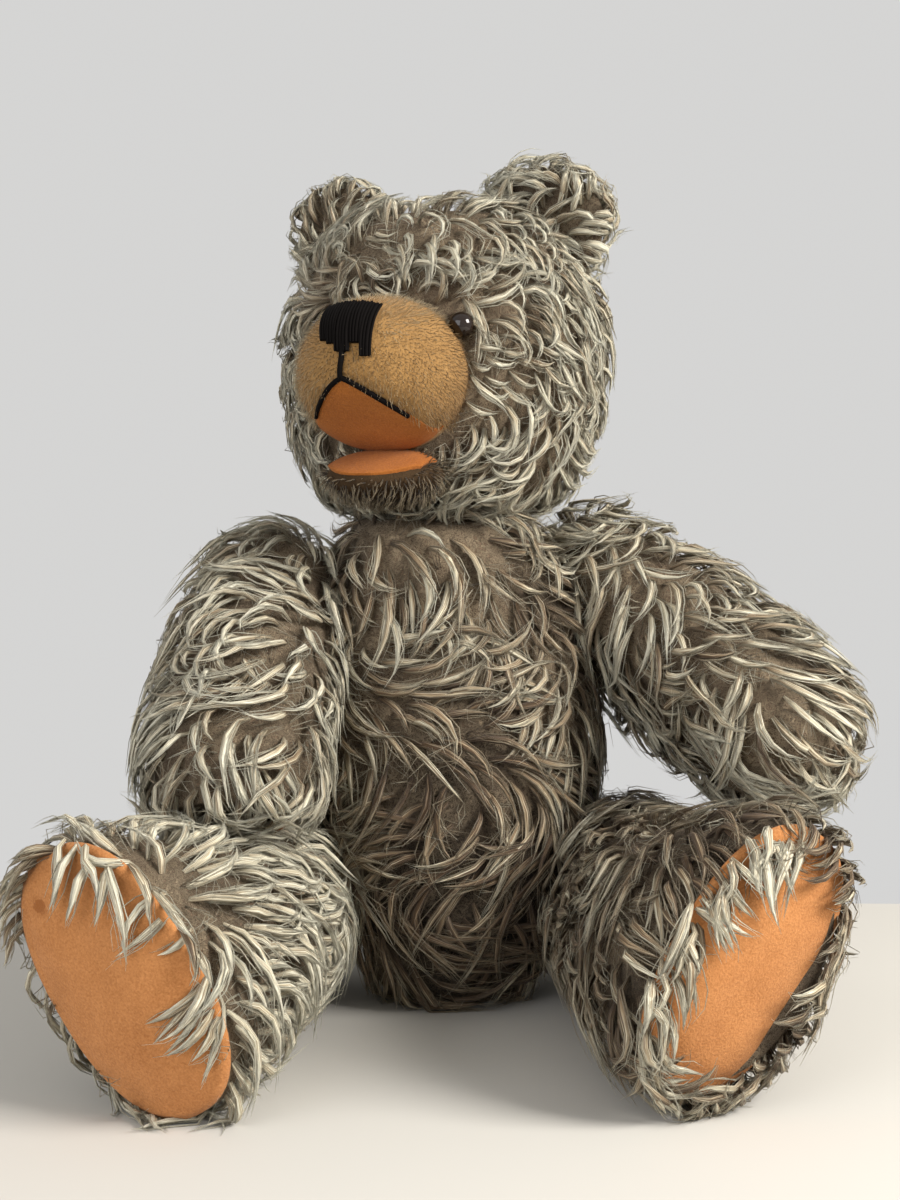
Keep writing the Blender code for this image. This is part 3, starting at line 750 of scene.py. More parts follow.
@dataclass
class Lock:
    """What the lie of the pile asks of one lock.

    Attributes:
        lie: The direction in which it lies.
        tone: How far it has faded, from 0 to 1; in places it also holds painted shade and painted highlight.
        size: Its length as a share of the coat's.
        curl: Its turn as a share of the coat's.
    """

    lie: Vector
    tone: float = 0.5
    size: float = 1.0
    curl: float = 1.0


class LockTree:
    """The geometry-node tree that lays strands along guide lines.

    Attributes:
        INPUTS: The tree's inputs, with the kind of each and the size of the coat that it takes.
    """

    INPUTS = {
        "Strands": ("Int", "strands"), "Points": ("Int", "points"), "Sides": ("Int", "sides"),
        "Strand Radius": ("Float", "strand"), "Tip": ("Float", "tip"), "Wave": ("Float", "wave"),
        "Shortest": ("Float", "shortest"), "Core": ("Float", "core"), "Core Sides": ("Int", "core_sides"),
        "Flatness": ("Float", "flatness"), "Seed": ("Int", ""),
    }

    def __init__(self, material: Material) -> None:
        """Builds the tree.

        Args:
            material: The strands' material.
        """
        self.tree = bpy.data.node_groups.new("lay_strands", "GeometryNodeTree")
        self.sockets: dict[str, str] = {}
        self.tree.interface.new_socket("Geometry", in_out="INPUT", socket_type="NodeSocketGeometry")
        for name, (kind, _) in self.INPUTS.items():
            made = self.tree.interface.new_socket(name, in_out="INPUT", socket_type="NodeSocket" + kind)
            self.sockets[name] = made.identifier
        self.tree.interface.new_socket("Geometry", in_out="OUTPUT", socket_type="NodeSocketGeometry")
        self.graph = Graph(self.tree)
        self._lay(material)

    @staticmethod
    def _number(sockets: Sequence[bpy.types.NodeSocket], name: str) -> bpy.types.NodeSocket:
        """The socket of a name that holds a number."""
        return next(socket for socket in sockets if socket.name == name and socket.type == "VALUE")

    def _random(self, low: float, high: float, seed: Value) -> Value:
        """A number that each strand keeps over its whole length.

        Args:
            low: The lowest value.
            high: The highest value.
            seed: The seed.

        Returns:
            The number.
        """
        index = self.graph.out(self.graph.node("GeometryNodeInputIndex", {}, {}))
        made = self.graph.node("FunctionNodeRandomValue", {"data_type": "FLOAT"}, {"ID": index, "Seed": seed})
        self._number(made.inputs, "Min").default_value = low
        self._number(made.inputs, "Max").default_value = high
        number = Value(self.graph, self._number(made.outputs, "Value"))
        kept = self.graph.node(
            "GeometryNodeFieldOnDomain", {"domain": "CURVE", "data_type": "FLOAT"}, {0: number})
        return self.graph.out(kept)

    def _named(self, name: str, kind: str = "FLOAT") -> Value:
        """A named attribute of the guides."""
        made = self.graph.node("GeometryNodeInputNamedAttribute", {"data_type": kind}, {"Name": name})
        return self.graph.out(made, "Attribute")

    def _stored(self, geometry: Value, name: str, given: Value, kind: str = "FLOAT") -> Value:
        """Stores an attribute on every point.

        Args:
            geometry: What it is stored on.
            name: Its name.
            given: What is stored.
            kind: Its data type.

        Returns:
            The marked geometry.
        """
        made = self.graph.node(
            "GeometryNodeStoreNamedAttribute", {"data_type": kind, "domain": "POINT"},
            {"Geometry": geometry, "Name": name, "Value": given})
        return self.graph.out(made)

    def _position(self) -> Value:
        """Where each point is."""
        return self.graph.out(self.graph.node("GeometryNodeInputPosition", {}, {}))

    def _trimmed(self, curves: Value, end: "Value | float", points: Value) -> Value:
        """Cuts curves off at a share of their length, and gives them even points.

        Args:
            curves: The curves.
            end: The share that is kept.
            points: Points along each.

        Returns:
            The shorter curves.
        """
        cut = self.graph.node("GeometryNodeTrimCurve", {"mode": "FACTOR"}, {0: curves})
        socket = self._number(cut.inputs, "End")
        if isinstance(end, Value):
            self.tree.links.new(end.socket, socket)
        else:
            socket.default_value = end
        spread = self.graph.node("GeometryNodeResampleCurve", {"mode": "COUNT"},
                                 {"Curve": self.graph.out(cut), "Count": points})
        return self.graph.out(spread)

    def _above_floor(self, geometry: Value, clearance: "Value | float") -> Value:
        """Lifts what lies too near the floor.

        Args:
            geometry: The curves.
            clearance: The least height of their points.

        Returns:
            The lifted curves.
        """
        g = self.graph
        place = g.node("ShaderNodeSeparateXYZ", {}, {0: self._position()})
        height = g.math("MAXIMUM", g.out(place, 2), clearance)
        lifted = g.node("ShaderNodeCombineXYZ", {}, {0: g.out(place, 0), 1: g.out(place, 1), 2: height})
        return g.out(g.node("GeometryNodeSetPosition", {}, {"Geometry": geometry, "Position": g.out(lifted)}))

    def _lay(self, material: Material) -> None:
        """Adds the nodes.

        Args:
            material: The strands' material.
        """
        g = self.graph
        entry = g.node("NodeGroupInput", {}, {})
        given = {name: g.out(entry, name) for name in self.sockets}
        seed = given["Seed"]
        lines = g.out(g.node("GeometryNodeMeshToCurve", {}, {0: g.out(entry, "Geometry")}))
        copies = g.node("GeometryNodeDuplicateElements", {"domain": "SPLINE"},
                        {"Geometry": lines, "Amount": given["Strands"]})
        reach = 1.0 - self._random(0.0, 1.0, seed) * (1.0 - given["Shortest"])
        spread = self._trimmed(g.out(copies), reach, given["Points"])
        along = g.out(g.node("GeometryNodeSplineParameter", {}, {}), "Factor")
        turn = self._random(0.0, 2 * math.pi, seed + 1)
        bend = g.math("SQRT", self._random(0.0, 1.0, seed + 2))
        stray = self._random(0.0, 1.0, seed + 3) ** 4.0 * along * 2.2
        normal = self._named("skin_normal", "FLOAT_VECTOR")
        heading = g.out(g.node("GeometryNodeInputTangent", {}, {}))
        sideways = g.vector("NORMALIZE", g.vector("CROSS_PRODUCT", heading, normal))
        twisted = turn + along * self._random(-0.7, 0.7, seed + 4)
        out = self._named("lock_width") * (bend + stray)
        phase = self._random(0.0, 2 * math.pi, seed + 5)
        weave = g.math("SINE", along * 9.0 + phase) * given["Wave"] * along
        across = out * g.math("COSINE", twisted) + weave
        above = out * g.math("SINE", twisted) * 0.55 + weave * 0.5
        shift = g.vector("ADD", g.scaled(sideways, across), g.scaled(normal, above))
        moved = g.node("GeometryNodeSetPosition", {}, {"Geometry": spread, "Offset": shift})
        laid = self._above_floor(g.out(moved), FLOOR_CLEARANCE)
        thickness = self._random(0.75, 1.2, seed + 6)
        taper = (1.0 - along ** 2.0 * (1.0 - given["Tip"])) * thickness
        toned = self._named("lock_tone") + self._random(-0.13, 0.13, seed + 7)
        marked = self._stored(self._stored(laid, "along", along), "tone", toned)
        strands = self._swept(marked, given["Sides"], taper * given["Strand Radius"])
        both = g.node("GeometryNodeJoinGeometry", {}, {})
        for part in (strands, self._cores(lines, given)):
            self.tree.links.new(part.socket, both.inputs[0])
        smooth = g.node("GeometryNodeSetShadeSmooth", {}, {0: g.out(both)})
        real = g.node("GeometryNodeRealizeInstances", {}, {0: g.out(smooth)})
        coloured = g.node("GeometryNodeSetMaterial", {}, {"Geometry": g.out(real), "Material": material})
        g.node("NodeGroupOutput", {}, {0: g.out(coloured)})

    def _swept(self, curves: Value, sides: Value, radius: Value) -> Value:
        """Sweeps a round profile, whose points know where they lie on it, along curves.

        Args:
            curves: The curves.
            sides: Sides of the profile.
            radius: Its radius along the curves.

        Returns:
            The closed meshes.
        """
        g = self.graph
        circle = g.node("GeometryNodeCurvePrimitiveCircle", {}, {"Resolution": sides, "Radius": 1.0})
        ring = self._stored(g.out(circle), "ring", self._position(), "FLOAT_VECTOR")
        return g.out(g.node("GeometryNodeCurveToMesh", {}, {
            "Curve": curves, "Profile Curve": ring, "Fill Caps": True, "Scale": radius}))

    def _cores(self, lines: Value, given: dict[str, Value]) -> Value:
        """The matted middle of every lock that has one.

        Args:
            lines: The guide lines as curves.
            given: The tree's inputs by name.

        Returns:
            The closed meshes.
        """
        g = self.graph
        spread = self._trimmed(lines, CORE_REACH, given["Points"])
        along = g.out(g.node("GeometryNodeSplineParameter", {}, {}), "Factor")
        radius = self._named("lock_width") * given["Core"] * (1.0 - along ** 3.0 * 0.94)
        laid = self._above_floor(spread, radius + FLOOR_CLEARANCE)
        toned = self._named("lock_tone") + self._random(-0.06, 0.06, given["Seed"] + 9) - 0.13
        marked = self._stored(self._stored(laid, "along", along * CORE_REACH), "tone", toned)
        marked = self._stored(marked, "lock_middle", self._position(), "FLOAT_VECTOR")
        none = g.math("LESS_THAN", given["Core"], 0.001)
        kept = g.node("GeometryNodeDeleteGeometry", {"domain": "CURVE"},
                      {"Geometry": marked, "Selection": none})
        round_ones = self._swept(g.out(kept), given["Core Sides"], radius)
        normal = self._named("skin_normal", "FLOAT_VECTOR")
        off = g.vector("SUBTRACT", self._position(), self._named("lock_middle", "FLOAT_VECTOR"))
        above = g.node("ShaderNodeVectorMath", {"operation": "DOT_PRODUCT"}, {0: off, 1: normal})
        pressed = g.scaled(normal, g.out(above, "Value") * (given["Flatness"] * -1.0))
        return g.out(g.node("GeometryNodeSetPosition", {}, {"Geometry": round_ones, "Offset": pressed}))

    def lay(self, guides: Piece, coat: Coat, seed: int) -> Piece:
        """Turns guide lines into strands.

        Args:
            guides: The guide lines, whose mesh is replaced.
            coat: The pile's sizes.
            seed: The random seed.

        Returns:
            The same object, as a plain mesh of strands.
        """
        modifier = guides.modifiers.new("strands", "NODES")
        modifier.node_group = self.tree
        for name, (_, size) in self.INPUTS.items():
            modifier[self.sockets[name]] = getattr(coat, size) if size else seed
        applied(guides)
        for extra in ("skin_normal", "lock_width", "lock_tone", "lock_middle"):
            if extra in guides.data.attributes:
                guides.data.attributes.remove(guides.data.attributes[extra])
        return guides


@dataclass
class Pile:
    """Grows locks from a skin along a lie.

    Attributes:
        coat: Its sizes.
        seed: The seed of its random draws.
        steps: Pieces of a lock's guide line.
        swirl_scale: Swirls of the lie, for each metre.
        side_scale: Runs of locks that curl to one side, for each metre.
        patch_scale: Patches of paler and darker locks, for each metre.
        sag: How far a free lock on a side or an underside drops.
        rows: The guide lines: (point, normal, half width, tone) along each.
    """

    coat: Coat
    seed: int
    steps: int = 7
    swirl_scale: float = 28.0
    side_scale: float = 34.0
    patch_scale: float = 75.0
    sag: float = 0.45
    rows: list[list[tuple[Vector, Vector, float, float]]] = field(default_factory=list)

    def roots(self, skin: Piece, grows: Grows
              ) -> list[tuple[Vector, Vector]]:
        """Spreads roots over the skin.

        Args:
            skin: The skin.
            grows: How densely the pile grows at a point with a normal, from 0 to 1.

        Returns:
            The point and normal of each root.
        """
        dice = np.random.default_rng(self.seed)
        mesh = skin.data
        mesh.calc_loop_triangles()
        corners = [[mesh.vertices[i].co for i in triangle.vertices] for triangle in mesh.loop_triangles]
        areas = np.array([triangle.area for triangle in mesh.loop_triangles])
        tries = int(areas.sum() / self.coat.spacing ** 2 * 9)
        picks = dice.choice(len(areas), tries, p=areas / areas.sum())
        shares = dice.random((tries, 3))
        cells: dict[tuple[int, int, int], list[Vector]] = {}
        kept = []
        for pick, (first, second, chance) in zip(picks, shares):
            if first + second > 1:
                first, second = 1 - first, 1 - second
            a, b, c = corners[pick]
            point = a + (b - a) * float(first) + (c - a) * float(second)
            normal = mesh.loop_triangles[pick].normal.copy()
            density = grows(point, normal)
            if density <= 0:
                continue
            gap = self.coat.spacing * (0.82 + 0.3 * float(chance)) / math.sqrt(density)
            cell = tuple(int(math.floor(v / self.coat.spacing)) for v in point)
            reach = range(-2, 3)
            near = (cells.get((cell[0] + i, cell[1] + j, cell[2] + k), ())
                    for i in reach for j in reach for k in reach)
            if any((point - other).length < gap for group in near for other in group):
                continue
            cells.setdefault(cell, []).append(point)
            kept.append((point, normal))
        return kept

    def grow(self, skin: Piece, bed: BVHTree, grows: Grows,
             lie: Lie) -> None:
        """Adds a guide line for each lock.

        Args:
            skin: The skin that carries the roots.
            bed: Everything the locks lie on.
            grows: How densely the pile grows.
            lie: What each lock is asked to do.
        """
        dice = np.random.default_rng(self.seed + 1)
        for point, normal in self.roots(skin, grows):
            asked = lie(point, normal)
            draws = [float(v) for v in dice.random(8)]
            self.rows.append(self._line(point, normal, asked, bed, draws))

    def _line(self, root: Vector, normal: Vector, asked: Lock, bed: BVHTree, draws: list[float]
              ) -> list[tuple[Vector, Vector, float, float]]:
        """One lock's guide line.

        Args:
            root: Where it grows.
            normal: The skin's normal there.
            asked: What the lie asks.
            bed: What the lock lies on.
            draws: Random numbers from 0 to 1.

        Returns:
            (point, normal, half width, tone) along the line.
        """
        coat = self.coat
        swirl = noise.noise(root * self.swirl_scale + Vector((self.seed, 0, 0)))
        strays = coat.scatter * (2.4 * swirl + 0.7 * (draws[0] - 0.5))
        heading = Matrix.Rotation(strays, 3, normal) @ tangent(asked.lie, normal)
        run = noise.noise(root * self.side_scale + Vector((7, self.seed, 0))) + 0.12 * (draws[1] - 0.5)
        turn = (1 if run > 0 else -1) * coat.curl * asked.curl * (0.75 + 0.5 * draws[2]) / self.steps
        bend = 2.1 * max(0.0, draws[6] - 0.45)
        length = coat.length * asked.size * (0.62 + 0.66 * draws[3])
        step = length / self.steps
        patch = noise.noise(root * self.patch_scale + Vector((0, 3, self.seed)))
        tone = bounded(asked.tone + 0.42 * (draws[5] - 0.5) + 0.40 * patch)
        on, up, free, free_heading = root.copy(), normal.copy(), root.copy(), heading.copy()
        line = []
        for i in range(self.steps + 1):
            t = i / self.steps
            rise = coat.lift * (0.55 + 0.9 * draws[4]) * (1 - (1 - min(t * 2.6, 1.0)) ** 2)
            rise += 0.12 * length * draws[4] * t ** 3
            hugging = on + up * rise
            flying = free + normal * (coat.lift * min(t * 3, 1.0))
            place = hugging.lerp(flying, coat.stand * t)
            place.z = max(place.z, FLOOR_CLEARANCE)
            swell = 0.50 + 0.75 * math.sin(math.pi * min(t * 1.05, 1.0)) ** 0.8
            width = coat.width * swell * (1 - 0.8 * t ** 3)
            line.append((place, up.copy(), width, tone))
            hit = bed.find_nearest(on + heading * step)
            on, up = hit[:2]
            now = turn * ((1 - coat.hook) + 2 * coat.hook * t) * (1 - 2.2 * bend * t)
            heading = Matrix.Rotation(now, 3, up) @ tangent(heading, up)
            free_heading = Matrix.Rotation(now, 3, normal) @ free_heading
            drop = DOWN * (self.sag * t if normal.z < 0.35 else 0.0)
            free = free + (free_heading + drop) * step
        return line

    def add(self, root: Vector, normal: Vector, asked: Lock, bed: BVHTree) -> None:
        """Adds the guide line of one chosen lock.

        Args:
            root: Where it grows.
            normal: The skin's normal there.
            asked: What it is asked to do.
            bed: What it lies on.
        """
        draws = [0.5 + 0.5 * noise.noise(root * 900.0 + Vector((0, 0, i))) for i in range(8)]
        self.rows.append(self._line(root, normal, asked, bed, draws))

    def bristle(self, skin: Piece, grows: Grows,
                lie: Lie, lean: float) -> None:
        """Adds a short upright guide line for each bristle.

        Args:
            skin: The skin that carries the roots.
            grows: How densely the pile grows.
            lie: What each bristle is asked to do.
            lean: How far a bristle leans towards its lie, from 0 to 1.
        """
        dice = np.random.default_rng(self.seed + 1)
        for root, normal in self.roots(skin, grows):
            asked = lie(root, normal)
            stray = Vector(dice.normal(0, 0.22, 3))
            heading = (normal * (1 - lean) + tangent(asked.lie, normal) * lean + stray).normalized()
            length = self.coat.length * asked.size * (0.7 + 0.6 * float(dice.random()))
            tone = bounded(asked.tone + 0.5 * (float(dice.random()) - 0.5))
            bow = tangent(asked.lie, normal) * length * 0.25
            self.rows.append([
                (root + heading * length * t + bow * t * t, normal, 0.0, tone)
                for t in (0.0, 0.5, 1.0)])

    def build(self, name: str, tree: LockTree) -> Piece:
        """Lays the strands along every guide line.

        Args:
            name: The object's name.
            tree: The geometry-node tree.

        Returns:
            The pile as a plain mesh.
        """
        points, edges, normals, widths, tones = [], [], [], [], []
        for row in self.rows:
            start = len(points)
            for place, normal, width, tone in row:
                points.append(place)
                normals.extend(normal)
                widths.append(width)
                tones.append(tone)
            edges.extend((start + i, start + i + 1) for i in range(len(row) - 1))
        mesh = bpy.data.meshes.new(name)
        mesh.from_pydata(points, edges, [])
        mesh.attributes.new("skin_normal", "FLOAT_VECTOR", "POINT").data.foreach_set("vector", normals)
        mesh.attributes.new("lock_width", "FLOAT", "POINT").data.foreach_set("value", widths)
        mesh.attributes.new("lock_tone", "FLOAT", "POINT").data.foreach_set("value", tones)
        guides = bpy.data.objects.new(name, mesh)
        bpy.context.scene.collection.objects.link(guides)
        made = tree.lay(guides, self.coat, self.seed)
        triangles = sum(len(polygon.vertices) - 2 for polygon in made.data.polygons)
        LOG.info("%s: %d locks, %d triangles", name, len(self.rows), triangles)
        return made


def bed_of(skin: Piece, pads: Sequence[tuple[Piece, Vector]] = ()) -> BVHTree:
    """What locks lie on: a skin and the outer sides of its pads, as one tree.

    Args:
        skin: The skin.
        pads: Each pad with the way it faces.

    Returns:
        Their tree.
    """
    points, faces = [], []
    for piece, out in ((skin, None), *pads):
        start = len(points)
        points.extend(vertex.co.copy() for vertex in piece.data.vertices)
        faces.extend([start + i for i in polygon.vertices] for polygon in piece.data.polygons
                     if out is None or polygon.normal.dot(out) > 0.2)
    return BVHTree.FromPolygons(points, faces)


# ---------------- joints

class Side(Enum):
    """The bear's own sides, as signs of X."""

    LEFT = 1
    RIGHT = -1


def joint_named(name: str) -> dict:
    """A joint of the frame."""
    return next(joint for joint in FRAME["joints"] if joint["name"] == name)


@dataclass
class JointFrame:
    """A disc joint: its +X is the axis and points from the torso into the limb.

    Attributes:
        name: The joint's name in the frame.
        side: Which side it is on.
        lift: How far its axis is lifted, in degrees.
        turn: How far it is turned backwards, in degrees.
        swing: How far the limb is swung about it, in degrees.
    """

    name: str
    side: Side
    lift: float
    turn: float
    swing: float

    @property
    def seat(self) -> Vector:
        """The middle of the joint's face."""
        return Vector(joint_named(self.name)["pos_m"])

    @property
    def axis(self) -> Vector:
        """The joint's axis, into the limb."""
        return Vector(joint_named(self.name)["axis"]).normalized()

    def place(self) -> Matrix:
        """The limb's frame at rest.

        Returns:
            The frame as a matrix.
        """
        sign = self.side.value
        outward = Matrix.Rotation(math.pi if sign < 0 else 0, 4, "Z")
        aim = Matrix.Rotation(math.radians(sign * self.turn), 4, "Z")
        aim = aim @ Matrix.Rotation(math.radians(-sign * self.lift), 4, "Y")
        swing = Matrix.Rotation(math.radians(sign * self.swing), 4, "X")
        return Matrix.Translation(self.seat) @ aim @ outward @ swing

    def meets(self, point: Vector, reach: float) -> bool:
        """Whether a world point is on the joint's face, within a reach of its middle."""
        off = point - self.seat
        return abs(off.dot(self.axis)) < FACE_DEPTH and off.length < reach


def mirrored(seat: Vector, side: Side) -> Vector:
    """A place on the bear's left, or its mirror on the right."""
    return Vector((seat.x * side.value, seat.y, seat.z))


# ---------------- sub-assemblies


@dataclass
class FeltPad:
    """A domed pad of felt with a turned edge.

    Attributes:
        name: The piece's name.
        place: Its middle, +Z outwards and +Y along its length.
        half_width: Half its width.
        half_length: Half its length.
        dome: How far its middle stands out.
        square: The power of its outline: 2 is an ellipse, more is squarer.
        rings: Rings of faces from the middle to the edge.
        spokes: Faces round the edge.
        hole: The middle of a small hole, in units of its half sizes.
        hole_radius: The hole's radius.
        hole_depth: Its depth.
        rim: How far the turned edge stands up.
        unevenness: How far the felt rises and falls.
        thickness: The felt's thickness.
    """

    name: str
    place: Matrix
    half_width: float
    half_length: float
    dome: float
    square: float = 2.35
    rings: int = 18
    spokes: int = 56
    hole: Optional[Vector] = None
    hole_radius: float = 0.0016
    hole_depth: float = 0.0016
    rim: float = 0.0011
    unevenness: float = 0.0009
    thickness: float = 0.0018

    def height(self, share: float) -> float:
        """How far the felt stands out at a share of the way to its edge."""
        return self.dome * (1 - share ** 2.6) + self.rim * math.exp(-((share - 0.955) / 0.03) ** 2)

    def local(self, point: Vector) -> Vector:
        """A world point in the pad's frame, with its edge at one unit from the middle."""
        inside = self.place.inverted() @ point
        return Vector((inside.x / self.half_width, inside.y / self.half_length, inside.z))

    def outline(self, turn: float, share: float = 1.0) -> Vector:
        """A point of the pad's plane at an angle, in metres.

        Args:
            turn: The angle from its X, in radians.
            share: How far towards the edge.

        Returns:
            The point in the pad's frame.
        """
        x, y = math.cos(turn), math.sin(turn)
        round_off = (abs(x) ** self.square + abs(y) ** self.square) ** (-1 / self.square)
        return Vector((x * self.half_width, y * self.half_length, 0)) * (share * round_off)

    def build(self, material: Material) -> Piece:
        """Builds the felt.

        Args:
            material: The felt.

        Returns:
            The pad.
        """
        shape = bmesh.new()
        soil = shape.verts.layers.float.new("soil")

        def vertex(out: Vector, share: float) -> bmesh.types.BMVert:
            """Adds a point of the felt.

            Args:
                out: Its place on the pad's plane.
                share: How far towards the edge it is.

            Returns:
                The new point.
            """
            out.z = self.height(share)
            out.z += self.unevenness * noise.noise(Vector((out.x, out.y, self.dome)) * 70.0) * (1 - share ** 4)
            depth = 0.0
            if self.hole is not None:
                spot = Vector((self.hole.x * self.half_width, self.hole.y * self.half_length, 0))
                depth = math.exp(-((out.xy - spot.xy).length / self.hole_radius) ** 2)
            made = shape.verts.new(self.place @ (out - Vector((0, 0, self.hole_depth * depth))))
            # the hole's depth also marks where shade is painted into the felt
            made[soil] = depth
            return made

        middle = vertex(Vector(), 0.0)
        rows = [[vertex(self.outline(2 * math.pi * k / self.spokes, i / self.rings), i / self.rings)
                 for k in range(self.spokes)] for i in range(1, self.rings + 1)]
        for k in range(self.spokes):
            n = (k + 1) % self.spokes
            shape.faces.new((middle, rows[0][k], rows[0][n]))
            for lower, upper in zip(rows, rows[1:]):
                shape.faces.new((lower[k], upper[k], upper[n], lower[n]))
        pad = object_from(self.name, shape, material)
        sheet = pad.modifiers.new("felt", "SOLIDIFY")
        sheet.thickness = self.thickness
        sheet.offset = -1
        return applied(pad)


@dataclass
class StuffedPart:
    """A stuffed part with its skin, its down, its locks and its felt.

    Attributes:
        finishes: The finishes.
        tree: The tree that lays strands.
        body: The frame's body that it rides on.
        seed: The seed of its pile.
        sides: Sides of its cage.
        coat: Its locks.
        down: The short tangled down between them.
        down_tone: How far the down has faded.
        fill: How firmly it is stuffed.
    """

    finishes: Finishes
    tree: LockTree
    body: str
    seed: int
    sides: int = 6
    coat: Coat = Coat()
    down: Coat = Coat(spacing=0.0105, length=0.017, width=0.0056, lift=0.0042, stand=0.4, curl=2.5, scatter=3.0,
                      core=0.0, strands=5, points=3, strand=0.00022, wave=0.0018, tip=0.2)
    down_tone: float = 0.42
    fill: float = 0.95

    def place(self) -> Matrix:
        """The part's frame at rest."""
        return Matrix()

    def stations(self) -> list[Station]:
        """The rings of its form."""
        raise NotImplementedError

    def presses(self, points: list[Vector]) -> None:
        """Flattens its skin where it meets a joint, the ground or another part."""
        raise NotImplementedError

    def felts(self) -> dict[str, FeltPad]:
        """Its felt pads, by the node that each stands for."""
        return {}

    def grows(self, point: Vector, normal: Vector) -> float:
        """How densely its pile grows, from 0 to 1."""
        raise NotImplementedError

    def lie(self, point: Vector, normal: Vector) -> Lock:
        """What its pile does at a point."""
        raise NotImplementedError

    def tangle(self, point: Vector, normal: Vector) -> Lock:
        """The down lies every way."""
        tone = self.down_tone + 0.45 * (self.lie(point, normal).tone - 0.6) + 0.22 * noise.noise(point * 40.0)
        return Lock(noise.noise_vector(point * 400.0), tone)

    def chosen(self, pile: Pile, bed: BVHTree) -> None:
        """Adds single locks that show in particular places."""

    @staticmethod
    def tint(skin: Piece, lie: Lie) -> None:
        """Gives a skin the tones of the pile that grows from it.

        Args:
            skin: The skin.
            lie: What its pile does at a point.
        """
        tones = skin.data.attributes.new("tone", "FLOAT", "POINT").data
        for vertex, mark in zip(skin.data.vertices, tones):
            mark.value = lie(vertex.co, vertex.normal).tone

    def build(self) -> None:
        """Builds and dresses the part."""
        skin = StuffedForm(self.stations(), self.sides, self.place()).build(
            self.body + "_skin", self.finishes.backing, self.presses)
        pads = {node: pad.build(self.finishes.felt) for node, pad in self.felts().items()}
        bed = bed_of(skin, [(pads[node], pad.place.to_3x3() @ UP) for node, pad in self.felts().items()])
        self.tint(skin, self.lie)
        locks, down = Pile(self.coat, self.seed), Pile(self.down, self.seed + 50, steps=3)
        locks.grow(skin, bed, self.grows, self.lie)
        self.chosen(locks, bed)
        down.grow(skin, bed, self.grows, self.tangle)
        dressed(skin, self.body, self.body + "_cover", self.fill)
        for pile, name in ((locks, "_locks"), (down, "_down")):
            dressed(pile.build(self.body + name, self.tree), self.body)
        for node, pad in pads.items():
            dressed(pad, self.body, node)


@dataclass
class Torso(StuffedPart):
    """The body: seat, belly, chest and neck."""

    joints: list[JointFrame] = field(default_factory=list)

    def stations(self) -> list[Station]:
        """The rings of the form, from the seat up.

        Returns:
            The rings in order.
        """
        def at(z: float, y: float = 0.0) -> Vector:
            """A point over the middle of the seat."""
            return Vector((0, y, z))

        return [
            Station(at(-0.014), 0.036, 0.044),
            Station(at(0.020, -0.002), 0.056, 0.060),
            Station(at(0.068, -0.003), 0.067, 0.068),
            Station(at(0.112), 0.066, 0.064),
            Station(at(0.150, 0.003), 0.066, 0.058),
            Station(at(0.184, 0.004), 0.055, 0.049),
            Station(at(NECK_HEIGHT + 0.006, 0.004), 0.045, 0.041),
        ]

    def presses(self, points: list[Vector]) -> None:
        """Flattens the skin on the seat and at each joint.

        Args:
            points: World points, changed in place.
        """
        press(points, Vector((0, 0, WALL)), DOWN)
        press(points, Vector((0, 0, NECK_HEIGHT - WALL)), UP)
        for joint in self.joints:
            press(points, joint.seat - joint.axis * WALL, joint.axis)

    def grows(self, point: Vector, normal: Vector) -> float:
        """The pile's density: none on the seat and under the joints.

        Args:
            point: A world point.
            normal: The skin's normal there.

        Returns:
            The density, usually 1.
        """
        if point.z < 0.004 or point.z > NECK_HEIGHT - 0.001:
            return 0.0
        return 0.0 if any(joint.meets(point, 0.028) for joint in self.joints) else 1.0

    def lie(self, point: Vector, normal: Vector) -> Lock:
        """Down from the neck, across the chest both ways, then down a belly painted darker, partly its browner
        pile and partly painted shade.

        Args:
            point: A world point.
            normal: The skin's normal there.

        Returns:
            What a lock there is to do.
        """
        across = OUTBOARD * (0.75 if point.z > 0.125 else 1.3 * math.sin(point.z * 70.0 + point.x * 20.0))
        lie = DOWN * 0.85 + across * 0.75 + noise.noise_vector(point * 21.0)
        front = max(0.0, -normal.y)
        low = 1 - bounded((point.z - 0.05) / 0.08)
        # the low front is darkened: partly the belly's browner pile, partly painted shade
        tone = 0.52 - 0.66 * front * low + 0.40 * noise.noise(point * 34.0)
        return Lock(lie, tone, 1.0 + 0.15 * low, 1.0 - 0.45 * low)


@dataclass
class Limb(StuffedPart):
    """An arm or a leg on its disc joint, with one felt pad.

    Attributes:
        joint: The joint that it turns on.
        radius: Half its usual width.
        crush: How far its side is pressed in at the joint.
        paw_rest: Where the right paw lies over the right leg.
        paw_lift: The way from the leg to the paw there.
        paw_room: The space between them.
        paw_reach: How far that space reaches.
    """

    joint: Optional[JointFrame] = None
    radius: float = 0.036
    crush: float = 0.012
    paw_rest: Vector = field(default_factory=lambda: Vector((-0.094, -0.079, 0.079)))
    paw_lift: Vector = field(default_factory=lambda: Vector((0, 0.30, 0.954)))
    paw_room: float = 0.0066
    paw_reach: float = 0.06

    def place(self) -> Matrix:
        """The limb's frame at rest."""
        return self.joint.place()

    def pad(self) -> FeltPad:
        """Its felt pad."""
        raise NotImplementedError

    def felts(self) -> dict[str, FeltPad]:
        """Its felt pad, by the node that it stands for."""
        return {self.body + "_pad": self.pad()}

    def at_joint(self, point: Vector) -> bool:
        """Whether a point is on the face that turns against the torso."""
        return self.joint.meets(point, 0.032)


